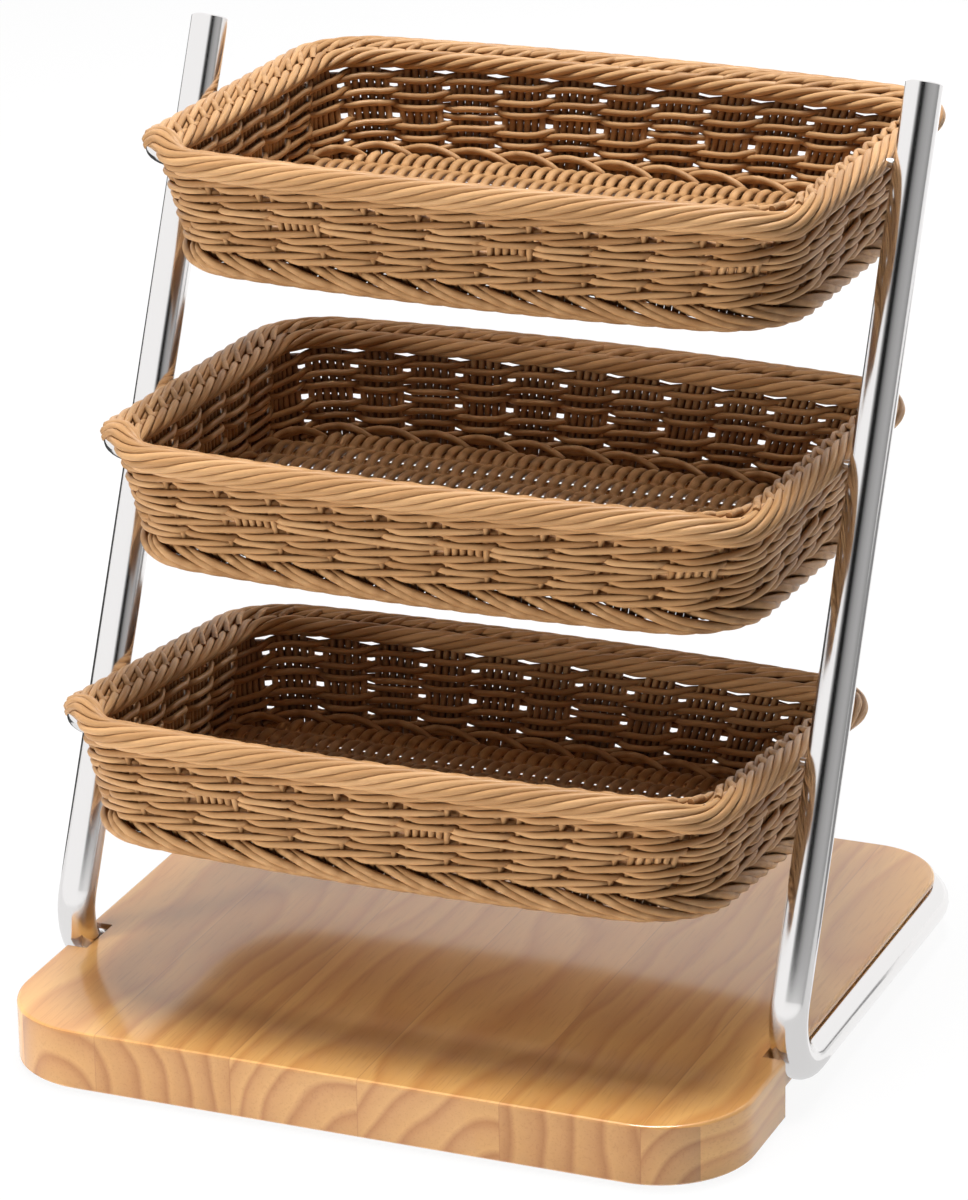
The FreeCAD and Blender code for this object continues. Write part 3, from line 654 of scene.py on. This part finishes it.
# %% Outlines of the basketwork
MM = 0.001
RING_WIDTH, RING_DEPTH, RING_CORNER, RING_BOW = 343.2, 233.4, 33.0, 12.2
FOOT_WIDTH, FOOT_DEPTH, FOOT_CORNER, FOOT_BOW = 318.5, 192.4, 36.0, 11.3
FOOT_SHIFT, FOOT_ASIDE, FOOT_DROP = 3.0, 2.5, 56.2
WALL_TOP, WALL_FOOT, WALL_INSET = -8.0, -49.6, 9.6
SIDE_STEPS, CORNER_STEPS = 16, 12
QUARTERS = ((1, 1), (-1, 1), (-1, -1), (1, -1))   # signs of x and y, anticlockwise


def outline(width, depth, corner, bow, inset=0.0, shift=0.0, aside=0.0, height=0.0):
    """Rounded rectangle with swollen long sides, anticlockwise from its right side's middle."""
    half_x, half_y = width / 2 - inset, depth / 2 - inset
    corner = corner - inset
    flat_x, flat_y = half_x - corner, half_y - corner
    points = []
    for quarter, (sign_x, sign_y) in enumerate(QUARTERS):
        for step in range(CORNER_STEPS + 1):
            angle = math.pi / 2 * (quarter + step / CORNER_STEPS)
            points.append((sign_x * flat_x + corner * math.cos(angle),
                           sign_y * flat_y + corner * math.sin(angle)))
        run_x, run_y = ((-2 * sign_x * flat_x, 0) if quarter % 2 == 0
                        else (0, -2 * sign_y * flat_y))
        last = points[-1]
        for step in range(1, SIDE_STEPS):
            share = step / SIDE_STEPS
            points.append((last[0] + run_x * share, last[1] + run_y * share))
    half = SIDE_STEPS // 2
    placed = []
    for x, y in points[-half:] + points[:-half]:
        swell = bow * y / half_y * (1 - (x / half_x) ** 2)
        placed.append(((x - aside) * MM, (y + swell + shift) * MM, height * MM))
    return placed


def ring_line(inset=0.0, height=0.0):
    """Line along the ring, or inside and above it."""
    return outline(RING_WIDTH, RING_DEPTH, RING_CORNER, RING_BOW, inset, height=height)


def foot_line(inset=0.0, height=-FOOT_DROP):
    """Line along the middle of the foot, or inside and above it."""
    return outline(FOOT_WIDTH, FOOT_DEPTH, FOOT_CORNER, FOOT_BOW, inset, FOOT_SHIFT, FOOT_ASIDE,
                   height)


def wall_line(height):
    """Middle of the wall at a height, between the border and the foot."""
    share = (WALL_TOP - height) / (WALL_TOP - WALL_FOOT)
    return [tuple(a + (b - a) * share for a, b in zip(high[:2], low[:2])) + (height * MM,)
            for high, low in zip(ring_line(WALL_INSET), foot_line())]


print("points on a line:", len(ring_line()))


# %% [markdown]
# ## Places on an outline
#
# Stakes and the strands that belong to them stand at even shares of the way round.  These helpers
# walk along a line to such a place, measure it, or cut across it for the floor.

# %% Places on an outline
def pairs(points):
    """Each point of a closed line with the next one."""
    return list(zip(points, points[1:] + points[:1]))


def girth(points):
    """Length of a closed line in millimetres."""
    return sum(math.dist(start, end) for start, end in pairs(points)) / MM


def at_fraction(points, fraction):
    """Place on a closed line at a share of its length, and the direction that it runs there."""
    steps = pairs(points)
    lengths = [math.dist(start, end) for start, end in steps]
    left = (fraction % 1.0) * sum(lengths)
    for (start, end), length in zip(steps, lengths):
        if left <= length:
            break
        left -= length
    place = Vector(start).lerp(Vector(end), left / length)
    return place, (Vector(end) - Vector(start)).normalized()


def offset_place(line, fraction, out, up):
    """Place beside a closed line: out of it and up from it, in millimetres."""
    place, tangent = at_fraction(line, fraction)
    outward = Vector((tangent.y, -tangent.x, 0.0))
    return tuple(place + outward * (out * MM) + Vector((0, 0, up * MM)))


def span(points, x):
    """Lowest and highest y of a closed line at one x."""
    crossings = []
    for (ax, ay, _), (bx, by, _) in pairs(points):
        if (ax - x) * (bx - x) < 0:
            crossings.append(ay + (by - ay) * (x - ax) / (bx - ax))
    return (min(crossings), max(crossings)) if len(crossings) > 1 else None


print("way round the ring:", round(girth(ring_line())), "mm")


# %% [markdown]
# ## Stakes
#
# The upright stakes of a basket are bundles of thin rods, here six side by side.  They start
# inside the border and end in the foot.  Each rod has its own place on three lines at different
# heights, so it follows the wall round the corners, where a stiff bundle would stick out.

# %% Stakes
STAKES = 36
STAKE_BARS, BAR_PITCH = 6, 3.85
STAKE_HEIGHTS = (-55.5, -32.0, -8.8, -3.0)   # foot, middle, tops of the outer rods, of the rest


def stake_paths():
    """Thin rods in groups, from inside the border down to the foot."""
    low, middle, outer_top, inner_top = (wall_line(height) for height in STAKE_HEIGHTS)
    length = girth(low)
    paths = []
    for stake in range(STAKES):
        for bar in range(STAKE_BARS):
            top = inner_top if 0 < bar < STAKE_BARS - 1 else outer_top
            aside = (bar - (STAKE_BARS - 1) / 2) * BAR_PITCH / length
            fraction = stake / STAKES + aside
            paths.append([tuple(at_fraction(line, fraction)[0]) for line in (top, middle, low)])
    return paths


print("rods in the stakes:", STAKES * STAKE_BARS)


# %% [markdown]
# ## Floor
#
# The floor strands run from front to rear and lie on a few cross strands.  Neighbours lie close
# together, rise over one cross strand, dip towards the next and sway a little, which leaves rows
# of small openings.  A cosine gives the rise and a sine of the same length the sway.

# %% Floor strands
FLOOR_EDGE, FLOOR_HEIGHT = 4.5, -51.2
FLOOR_PITCH, FLOOR_STEP = 6.7, 3.0
FLOOR_WAVE, FLOOR_SWAY = 1.6, 0.9
CROSS_PITCH, CROSS_EACH_SIDE, CROSS_STEPS = 12.0, 8, 40
CROSS_UNDER = (2.8, 3.4)   # below the floor's middle, for even and odd cross strands


def floor_paths():
    """Strands from front to rear that rise over every second cross strand."""
    edge = foot_line(FLOOR_EDGE)
    middle = -FOOT_ASIDE * MM
    reach = max(p[0] for p in edge) - middle
    count = int(2 * reach / (FLOOR_PITCH * MM))
    paths = []
    for strand in range(count):
        x = middle + (strand + 0.5 - count / 2) * FLOOR_PITCH * MM
        ends = span(edge, x)
        if ends is None:
            continue
        steps = max(6, int((ends[1] - ends[0]) / (FLOOR_STEP * MM)))
        path = []
        for step in range(steps + 1):
            y = ends[0] + (ends[1] - ends[0]) * step / steps
            turn = math.pi * y / (CROSS_PITCH * MM)
            height = FLOOR_HEIGHT + FLOOR_WAVE * math.cos(turn)
            path.append((x + FLOOR_SWAY * math.sin(turn) * MM, y, height * MM))
        paths.append(path)
    return paths


def cross_paths():
    """Strands from side to side under the floor strands, a little deeper below their dips."""
    edge = [(y, x, z) for x, y, z in foot_line(FLOOR_EDGE)]
    paths = []
    for strand in range(-CROSS_EACH_SIDE, CROSS_EACH_SIDE + 1):
        y = strand * CROSS_PITCH * MM
        ends = span(edge, y)
        if ends is None:
            continue
        height = (FLOOR_HEIGHT - CROSS_UNDER[strand % 2]) * MM
        paths.append([(ends[0] + (ends[1] - ends[0]) * step / CROSS_STEPS, y, height)
                      for step in range(CROSS_STEPS + 1)])
    return paths


print("floor strands:", len(floor_paths()), "cross strands:", len(cross_paths()))


# %% [markdown]
# ## Arches round the floor
#
# Where the wall meets the floor, the end of each stake bends over and runs along the edge past
# the next one.  Seen from above they are a row of low arches that overlap like scales.

# %% Arches round the floor
ARCH_INSET, ARCH_STEPS = 5.0, 12
ARCH_SPAN = 1.45                 # in stakes
ARCH_FOOT, ARCH_RISE, ARCH_ROUND = -51.0, 6.4, 0.8
ARCH_OUT, ARCH_START = 3.2, -0.5


def scallop_paths():
    """One arched strand for each stake, along the inner edge of the floor."""
    edge = foot_line(ARCH_INSET, 0.0)
    paths = []
    for stake in range(STAKES):
        path = []
        for step in range(ARCH_STEPS + 1):
            along = step / ARCH_STEPS
            fraction = (stake + (along - 0.5) * ARCH_SPAN) / STAKES
            height = ARCH_FOOT + ARCH_RISE * math.sin(math.pi * along) ** ARCH_ROUND
            path.append(offset_place(edge, fraction, ARCH_OUT * along + ARCH_START, height))
        paths.append(path[::-1])
    return paths


print("arches:", len(scallop_paths()))


# %% [markdown]
# ## Rolled foot
#
# Two strands leave the wall at each stake, roll over the outside of the foot and end under it.
# Every strand is a coil that starts steep and lies down as it turns, so that it runs nearly level
# along the front of the foot.  The two of a pair start close together and spread as they go.

# %% Rolled foot
FOOT_ROLL = 4.4                                  # radius of the roll
ROLL_START, ROLL_TURN, ROLL_STEPS = 1.8, 4.5, 20  # radians, and steps on the roll
TAIL_STEPS, TAIL_LEAD, TAIL_CLIMB, TAIL_OUT = 2, 1.6, 3.0, -0.4   # the end up inside the wall
ROLL_LEAD, ROLL_SLACK, ROLL_AHEAD = 15.0, 9.0, 2.0
PAIR_APART, PAIR_SPREAD, SPREAD_FROM, SPREAD_OVER = 6.0, 7.9, 0.7, 1.8


def foot_step(step):
    """Turn, run along the foot, reach and climb of a foot strand at one of its steps."""
    if step < 0:
        return 0.0, TAIL_LEAD * step, TAIL_OUT, FOOT_ROLL - TAIL_CLIMB * step
    turned = ROLL_TURN * step / ROLL_STEPS
    lead = ROLL_LEAD * turned - ROLL_SLACK * (1 - math.exp(-turned))
    angle = ROLL_START - turned
    return turned, lead, FOOT_ROLL * math.cos(angle), FOOT_ROLL * math.sin(angle)


def foot_paths():
    """Two strands for each stake, rolled over the outside of the foot."""
    line = foot_line()
    length = girth(line)
    paths = []
    for stake in range(STAKES):
        for second in (0, 1):
            path = []
            for step in range(-TAIL_STEPS, ROLL_STEPS + 1):
                turned, lead, out, climb = foot_step(step)
                spread = min(1.0, max(0.0, (turned - SPREAD_FROM) / SPREAD_OVER))
                run = lead + second * (PAIR_APART + PAIR_SPREAD * spread) + ROLL_AHEAD
                path.append(offset_place(line, stake / STAKES + run / length, out, climb))
            paths.append(path)
    return paths


print("foot strands:", len(foot_paths()))


# %% [markdown]
# ## Border
#
# The border has a thick rope round the ring, a thinner one inside it, and short strands that cross
# the crest from one to the other.  The thick rope isn't laid evenly: at one front corner it rides
# up off the ring, so that a little bright wire shows, and at the other it sags.

# %% Border
OUTER_CREST, MIDDLE_CREST, INNER_CREST = (0.5, 4.6), (5.5, 5.3), (10.0, 2.2)   # inset, height
CREST_STEPS, CREST_REACH = 8, 0.9
LIFTED = {"side": -1, "within": 19.0, "inward": 7.5, "up": 9.0}
SAGGED = {"side": 1, "within": 17.0, "inward": -4.0, "up": -6.0}


def crest_paths():
    """Short strands over the crest of the border, from the inner rope to the outer one."""
    lines = [ring_line(*place) for place in (INNER_CREST, MIDDLE_CREST, OUTER_CREST)]
    paths = []
    for strand in range(2 * STAKES):
        path = []
        for step in range(CREST_STEPS + 1):
            along = step / CREST_STEPS
            fraction = (strand + CREST_REACH * (0.5 - along)) / (2 * STAKES)
            start, crest, end = (at_fraction(line, fraction)[0] for line in lines)
            path.append(tuple(start * (1 - along) ** 2 + crest * 2 * along * (1 - along)
                              + end * along ** 2))
        paths.append(path)
    return paths


def rope_line():
    """Line of the outer rope, which rides up at one front corner and sags at the other."""
    points = []
    for point in ring_line():
        place = Vector(point)
        inward = Vector((-place.x, -place.y, 0)).normalized()
        for corner in (LIFTED, SAGGED):
            tip = (corner["side"] * RING_WIDTH / 2 * MM, -RING_DEPTH / 2 * MM)
            apart = math.dist(point[:2], tip)
            share = math.exp(-(apart / (corner["within"] * MM)) ** 2) * MM
            place += inward * (corner["inward"] * share) + Vector((0, 0, corner["up"] * share))
        points.append(tuple(place))
    return points


print("crest strands:", len(crest_paths()))


# %% [markdown]
# ## Weave one basket
#
# The wall has seven rows.  Four are of three strands, two are of two, and one is a single strand
# that leaves the stakes bare in small windows.  Each row is one closed line at its own height, on
# which the wall row tree lays its strands.

# %% Rows of the wall
WALL_ROWS = (
    # name, height, strands, period, front share, rise, shift
    ("wale_1", -11.0, 3, 3.0, 0.59, 3.3, 0.0),
    ("wale_2", -18.9, 3, 3.0, 0.59, 3.3, 1.0),
    ("pair_1", -24.9, 2, 2.0, 0.54, 0.6, 0.0),
    ("window", -28.9, 1, 4.0, 0.75, 0.0, 0.0),
    ("wale_3", -34.6, 3, 3.0, 0.59, 3.3, 2.0),
    ("pair_2", -40.4, 2, 2.0, 0.54, 0.6, 1.0),
    ("wale_4", -46.2, 3, 3.0, 0.59, 3.1, 0.0),
)
ROW_SEED, ROW_DEPTH, ROW_CROSS, ROW_STATIONS = 41.0, 3.7, 0.26, 720


def laid(name, tree, paths, width, thickness, seed, closed=False, **more):
    """Strands of one kind, with their width and thickness in millimetres."""
    return grown(name, tree, paths, closed, Width=width * MM, Thickness=thickness * MM,
                 Seed=seed, Material=STRAND, **more)


def wall_rows():
    """Every row of the wall, in order from the top."""
    return [laid(name, WALE, [wall_line(height)], 3.55, 3.4, ROW_SEED - height, closed=True,
                 Strands=strands, Stations=ROW_STATIONS, Depth=ROW_DEPTH * MM, Rise=rise * MM,
                 Period=period, Front=front, Cross=ROW_CROSS, Shift=shift)
            for name, height, strands, period, front, rise, shift in WALL_ROWS]


print("strands in the wall:", sum(row[2] for row in WALL_ROWS))

# %% Weave one basket
def weave():
    """Border, stakes, weavers, foot and floor of one basket, each a list of pieces."""
    return {
        "border": [laid("outer_rope", ROPE, [rope_line()], 4.0, 4.0, 1.0, closed=True,
                        Strands=9, Stations=680, Roll=5.2 * MM, Turns=9.0),
                   laid("inner_rope", ROPE, [ring_line(9.9, -1.4)], 4.2, 4.1, 11.0, closed=True,
                        Strands=5, Stations=640, Roll=3.3 * MM, Turns=15.0),
                   laid("crest", BARS, crest_paths(), 3.7, 3.5, 15.0)],
        "stakes": [laid("stakes", BARS, stake_paths(), 3.75, 3.75, 31.0)],
        "weavers": wall_rows(),
        "foot": [laid("foot_strands", BARS, foot_paths(), 4.5, 4.4, 21.0)],
        "floor": [laid("floor_strands", BARS, floor_paths(), 4.2, 5.0, 51.0),
                  laid("cross_strands", BARS, cross_paths(), 2.6, 3.4, 61.0),
                  laid("scallops", BARS, scallop_paths(), 3.9, 3.4, 71.0)]}


def joined(name, pieces):
    """One object out of several."""
    bpy.ops.object.select_all(action="DESELECT")
    for piece in pieces:
        piece.select_set(True)
    bpy.context.view_layer.objects.active = pieces[0]
    if len(pieces) > 1:
        bpy.ops.object.join()
    whole = bpy.context.view_layer.objects.active
    whole.name = name
    whole.data.name = name
    return whole


woven = {kind: joined("basket_" + kind, pieces) for kind, pieces in weave().items()}
print("one basket:", {kind: len(piece.data.polygons) for kind, piece in woven.items()})


# %% [markdown]
# ## Hang the baskets
#
# The three baskets are alike, so one is woven and its meshes are copied to the three rings.  A
# copied object could be moved and turned, but a finished piece has to sit at the origin with its
# place in its mesh, so the points are moved instead.  Each ring tilts a little differently: the
# axis along which its basket lifts out is the ring's normal.

# %% Hang the baskets
def basket_place(tier):
    """Frame of a basket: the middle of its ring and the ring's normal."""
    low, high = (Vector(corner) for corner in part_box(tier + "_ring"))
    lift = next(j for j in frame["joints"] if j["name"] == tier + "_basket_lift")
    axis = Vector(lift["axis"])
    tilt = math.atan2(axis.y, axis.z)
    return Matrix.Translation((low + high) / 2) @ Matrix.Rotation(-tilt, 4, "X")


for tier in TIERS:
    place = basket_place(tier)
    for kind, pattern in woven.items():
        name = "%s_basket_%s" % (tier, kind)
        piece = bpy.data.objects.new("woven_" + name, pattern.data.copy())
        piece.data.transform(place)
        piece.data.shade_smooth()
        scene.collection.objects.link(piece)
        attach(piece, tier + "_basket")
        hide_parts(name)
        print(piece.name, len(piece.data.polygons))
for pattern in woven.values():
    bpy.data.objects.remove(pattern)


# %% [markdown]
# ## Smooth the packed pieces
#
# The packed pieces are loose triangles with hard edges.  A copy has its doubled points merged and
# its faces shaded smooth, and keeps a hard edge only where two faces meet at more than a set
# angle.  A mirror-polished tube shows every flat facet otherwise.

# %% Smooth the packed pieces
SMOOTH = {"frame_tube": 35, "board": 28, "end_caps": 35, "anti_slip_pads": 35, "rear_screws": 35}
RECORDED = {part["node"]: part["material_slot"] for part in frame["record"]["subparts"]}
SAME_POINT = 0.00001   # metres


def smooth_copy(node, degrees):
    """Copy of a packed piece with its points merged and its curved faces shaded smooth."""
    piece = bpy.data.objects.new("smooth_" + node, nodes[node].data.copy())
    scene.collection.objects.link(piece)
    shape = bmesh.new()
    shape.from_mesh(piece.data)
    bmesh.ops.remove_doubles(shape, verts=shape.verts, dist=SAME_POINT)
    for edge in shape.edges:
        sharp = len(edge.link_faces) == 2 and edge.calc_face_angle(0.0) > math.radians(degrees)
        edge.smooth = not sharp
    for face in shape.faces:
        face.smooth = True
    shape.to_mesh(piece.data)
    shape.free()
    return piece


for node, degrees in SMOOTH.items():
    piece = smooth_copy(node, degrees)
    piece.data.materials.clear()
    piece.data.materials.append(CAD_MATERIALS[RECORDED[node]])
    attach(piece, "stand")
    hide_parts(node)
    print(piece.name, len(piece.data.polygons))


# %% [markdown]
# ## Rings
#
# Each ring is one bent wire with two short stubs to the uprights.  The wire is polished, and its
# corners are tight, so it is swept again here along the ring's line with more sides than the
# packed ring has.

# %% Rings
WIRE, STUB, ROUND_SIDES = 6.0, 5.0, 20
STUB_START = RING_WIDTH / 2 + 1
STUBS_BEHIND = {"top": 2.57, "middle": -1.28, "bottom": -9.93}  # mm behind its middle


def wire_ring(tier):
    """Wire of one ring with its two stubs, in the rack's place."""
    steel = {"Sides": ROUND_SIDES, "Material": CAD_MATERIALS["polished_steel"]}
    wire = grown(tier + "_wire", BARS, [ring_line()], True, Width=WIRE * MM,
                 Thickness=WIRE * MM, **steel)
    low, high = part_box(tier + "_ring")
    reach = (high.x - low.x) / 2
    y = STUBS_BEHIND[tier] * MM
    stubs = [[(side * STUB_START * MM, y, 0), (side * reach, y, 0)] for side in (-1, 1)]
    lugs = grown(tier + "_lugs", BARS, stubs, False, Width=STUB * MM, Thickness=STUB * MM,
                 **steel)
    ring = joined("wire_%s_ring" % tier, [wire, lugs])
    ring.data.transform(basket_place(tier))
    ring.data.shade_smooth()
    return ring


for tier in TIERS:
    ring = wire_ring(tier)
    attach(ring, "stand")
    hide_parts(tier + "_ring")
    print(ring.name, len(ring.data.polygons))

for part in frame["record"]["subparts"]:
    wanted = CAD_MATERIALS.get(part["material_slot"])
    if wanted:
        for slot in nodes[part["node"]].material_slots:
            slot.material = wanted


# %% [markdown]
# ## White surroundings
#
# The rack stands on white paper in a white room.  If the room were lit until it was white, the
# rack would be far too bright, so the Light Path node tells the rays apart.  The camera and the
# polished steel see the paper and the room nearly white, and the light that reaches the rack stays
# low.  A small part of the real paper is left in what the camera sees, and that keeps the shadow.

# %% White floor and world
PAPER_WHITE, PAPER_SEEN, PAPER_SIZE = 0.9, 0.92, 12
ROOM_LIGHT = 0.08


def floor_piece():
    """White paper that keeps a soft shadow of the rack."""
    finish = Finish("floor_white")
    paper = finish.add("ShaderNodeBsdfDiffuse", {"Color": (*grey(PAPER_WHITE), 1)})
    white = finish.add("ShaderNodeEmission", {"Color": (1, 1, 1, 1), "Strength": 1.0})
    ray = finish.add("ShaderNodeLightPath").outputs
    seen = finish.math("MAXIMUM", ray["Is Camera Ray"], ray["Is Glossy Ray"])
    seen = finish.math("MAXIMUM", seen, ray["Is Transmission Ray"])
    both = finish.add("ShaderNodeMixShader", {0: finish.math("MULTIPLY", seen, PAPER_SEEN),
                                              1: paper.outputs[0], 2: white.outputs[0]})
    finish.end(both)
    bpy.ops.mesh.primitive_plane_add(size=PAPER_SIZE)
    floor = bpy.context.object
    floor.name = "floor"
    floor.data.materials.append(finish.material)
    return floor


def white_world(strength):
    """Room that camera and mirror rays see white, and that lights the rack only a little."""
    world = bpy.data.worlds.new("studio")
    scene.world = world
    world.use_nodes = True
    room = NodeTree(world.node_tree)
    room.tree.nodes.clear()
    ray = room.add("ShaderNodeLightPath").outputs
    seen = room.math("MAXIMUM", ray["Is Camera Ray"], ray["Is Glossy Ray"])
    lit, white = (room.add("ShaderNodeBackground", {0: (1, 1, 1, 1), 1: level}).outputs[0]
                  for level in (strength, 1.0))
    both = room.add("ShaderNodeMixShader", {0: seen, 1: lit, 2: white})
    room.add("ShaderNodeOutputWorld", {0: both.outputs[0]})


floor_piece()
white_world(ROOM_LIGHT)
print("paper:", PAPER_SIZE, "m wide, light of the room:", ROOM_LIGHT)


# %% [markdown]
# ## Lamps
#
# Three round, soft lamps light the rack.  A low one at the front left lights the front walls and
# reaches a little way into the baskets.  A large one overhead lights the borders and the board.  A
# weak one behind shows through the gaps of the rear walls.  The low ones are hidden from mirrors,
# or the uprights would show them as bright discs.

# %% Lamps
def lamp(name, place, target, size, power, seen=True):
    """Round soft lamp that looks at a target; size in metres, power in watts."""
    data = bpy.data.lights.new(name, "AREA")
    data.shape = "DISK"
    data.size = size
    data.energy = power
    shown = bpy.data.objects.new(name, data)
    scene.collection.objects.link(shown)
    shown.matrix_world = aimed(place, target)
    shown.visible_glossy = seen
    print("lamp:", name, power, "W")


lamp("front", (-1.6, -1.95, 0.42), (0, 0, 0.25), 0.5, 50.0, seen=False)
lamp("overhead", (-0.1, 0.12, 2.7), (0, 0, 0.2), 1.15, 100.0)
lamp("behind", (0.3, 1.7, 0.5), (0, 0.1, 0.0), 1.0, 26.0, seen=False)


# %% [markdown]
# ## What the steel reflects
#
# A mirror in an all-white room looks like white paper.  A photographer of steel puts cards round
# it, out of the picture, and their reflections draw the tube: a dark line down the middle, grey
# beside it.  A round tube squeezes its whole surroundings into a few millimetres, so the card here
# is a part of a cylinder that runs parallel to the right upright, with a grey level for each
# direction.  Flat sectors on the table do the same for what the tube sees below it.  Only mirrors
# see them, so they neither light nor shade the rack.

# %% Sheets that only steel sees
HIDDEN_RAYS = ("camera", "diffuse", "shadow", "transmission", "volume_scatter")


def steel_sees(name, points, faces, level):
    """Glowing sheet that only polished metal sees; level is one grey, or a list for the points."""
    mesh = bpy.data.meshes.new(name)
    mesh.from_pydata(points, [], faces)
    finish = Finish(name)
    if isinstance(level, list):
        kept = mesh.attributes.new("level", "FLOAT", "POINT")
        kept.data.foreach_set("value", level)
        level = finish.add("ShaderNodeAttribute", attribute_name="level").outputs["Fac"]
    mesh.materials.append(finish.glow(level))
    shown = bpy.data.objects.new(name, mesh)
    scene.collection.objects.link(shown)
    for ray in HIDDEN_RAYS:
        setattr(shown, "visible_" + ray, False)
    print("only in steel:", name, len(faces), "faces")


print("hidden from:", ", ".join(HIDDEN_RAYS))

# %% Card beside the right upright
LEAN = math.radians(25.2)
UPRIGHT_AXIS = Vector((0, math.sin(LEAN), math.cos(LEAN)))
ACROSS_AXIS = Vector((0, UPRIGHT_AXIS.z, -UPRIGHT_AXIS.y))
RIGHT_UPRIGHT = (0.19, -0.109)
CARD_REACH, CARD_LOW, CARD_HIGH = 0.54, -0.03, 0.66
CARD_STOPS = (   # turn in degrees and grey level
    (-107, 1.0), (-97, 0.25), (-88, 0.01), (-72, 0.01), (-64, 0.15), (-50, 0.30), (-37, 0.37),
    (-25, 0.40), (-12, 0.43), (2, 0.41), (16, 0.33), (28, 0.27))


def card(name, middle, stops):
    """Part of a round screen parallel to the uprights; grey changes evenly between two stops."""
    points = []
    for degrees, _ in stops:
        turn = math.radians(degrees)
        flat = (Vector((middle[0] + CARD_REACH * math.cos(turn), 0, 0))
                + ACROSS_AXIS * (middle[1] + CARD_REACH * math.sin(turn)))
        points += [flat + UPRIGHT_AXIS * CARD_LOW, flat + UPRIGHT_AXIS * CARD_HIGH]
    faces = [(2 * i, 2 * i + 2, 2 * i + 3, 2 * i + 1) for i in range(len(stops) - 1)]
    steel_sees(name, points, faces, [level for _, level in stops for _ in range(2)])


card("right_card", RIGHT_UPRIGHT, CARD_STOPS)

# %% Sectors of the table
STRIP_STEPS, STRIP_HEIGHT = 8, 0.003


def table_strip(name, middle, near, far, start, end, level):
    """Grey sector on the table, between two distances and two turns in degrees."""
    points = []
    for step in range(STRIP_STEPS + 1):
        turn = math.radians(start + (end - start) * step / STRIP_STEPS)
        points += [(middle + reach * math.cos(turn), reach * math.sin(turn), STRIP_HEIGHT)
                   for reach in (near, far)]
    faces = [(2 * i, 2 * i + 1, 2 * i + 3, 2 * i + 2) for i in range(STRIP_STEPS)]
    steel_sees(name, points, faces, level)


table_strip("right_strip", 0.19, 0.12, 1.4, 28, 62, 0.25)
table_strip("right_table", 0.19, 0.05, 1.4, -120, 28, 0.74)
table_strip("left_table", -0.19, 0.05, 1.4, 172, 300, 0.88)
table_strip("left_strip", -0.19, 0.12, 3.0, 118, 172, 0.05)


# %% [markdown]
# ## Finish
#
# The Standard view shows every colour as it was written.

# %% Finish
scene.view_settings.view_transform = "Standard"
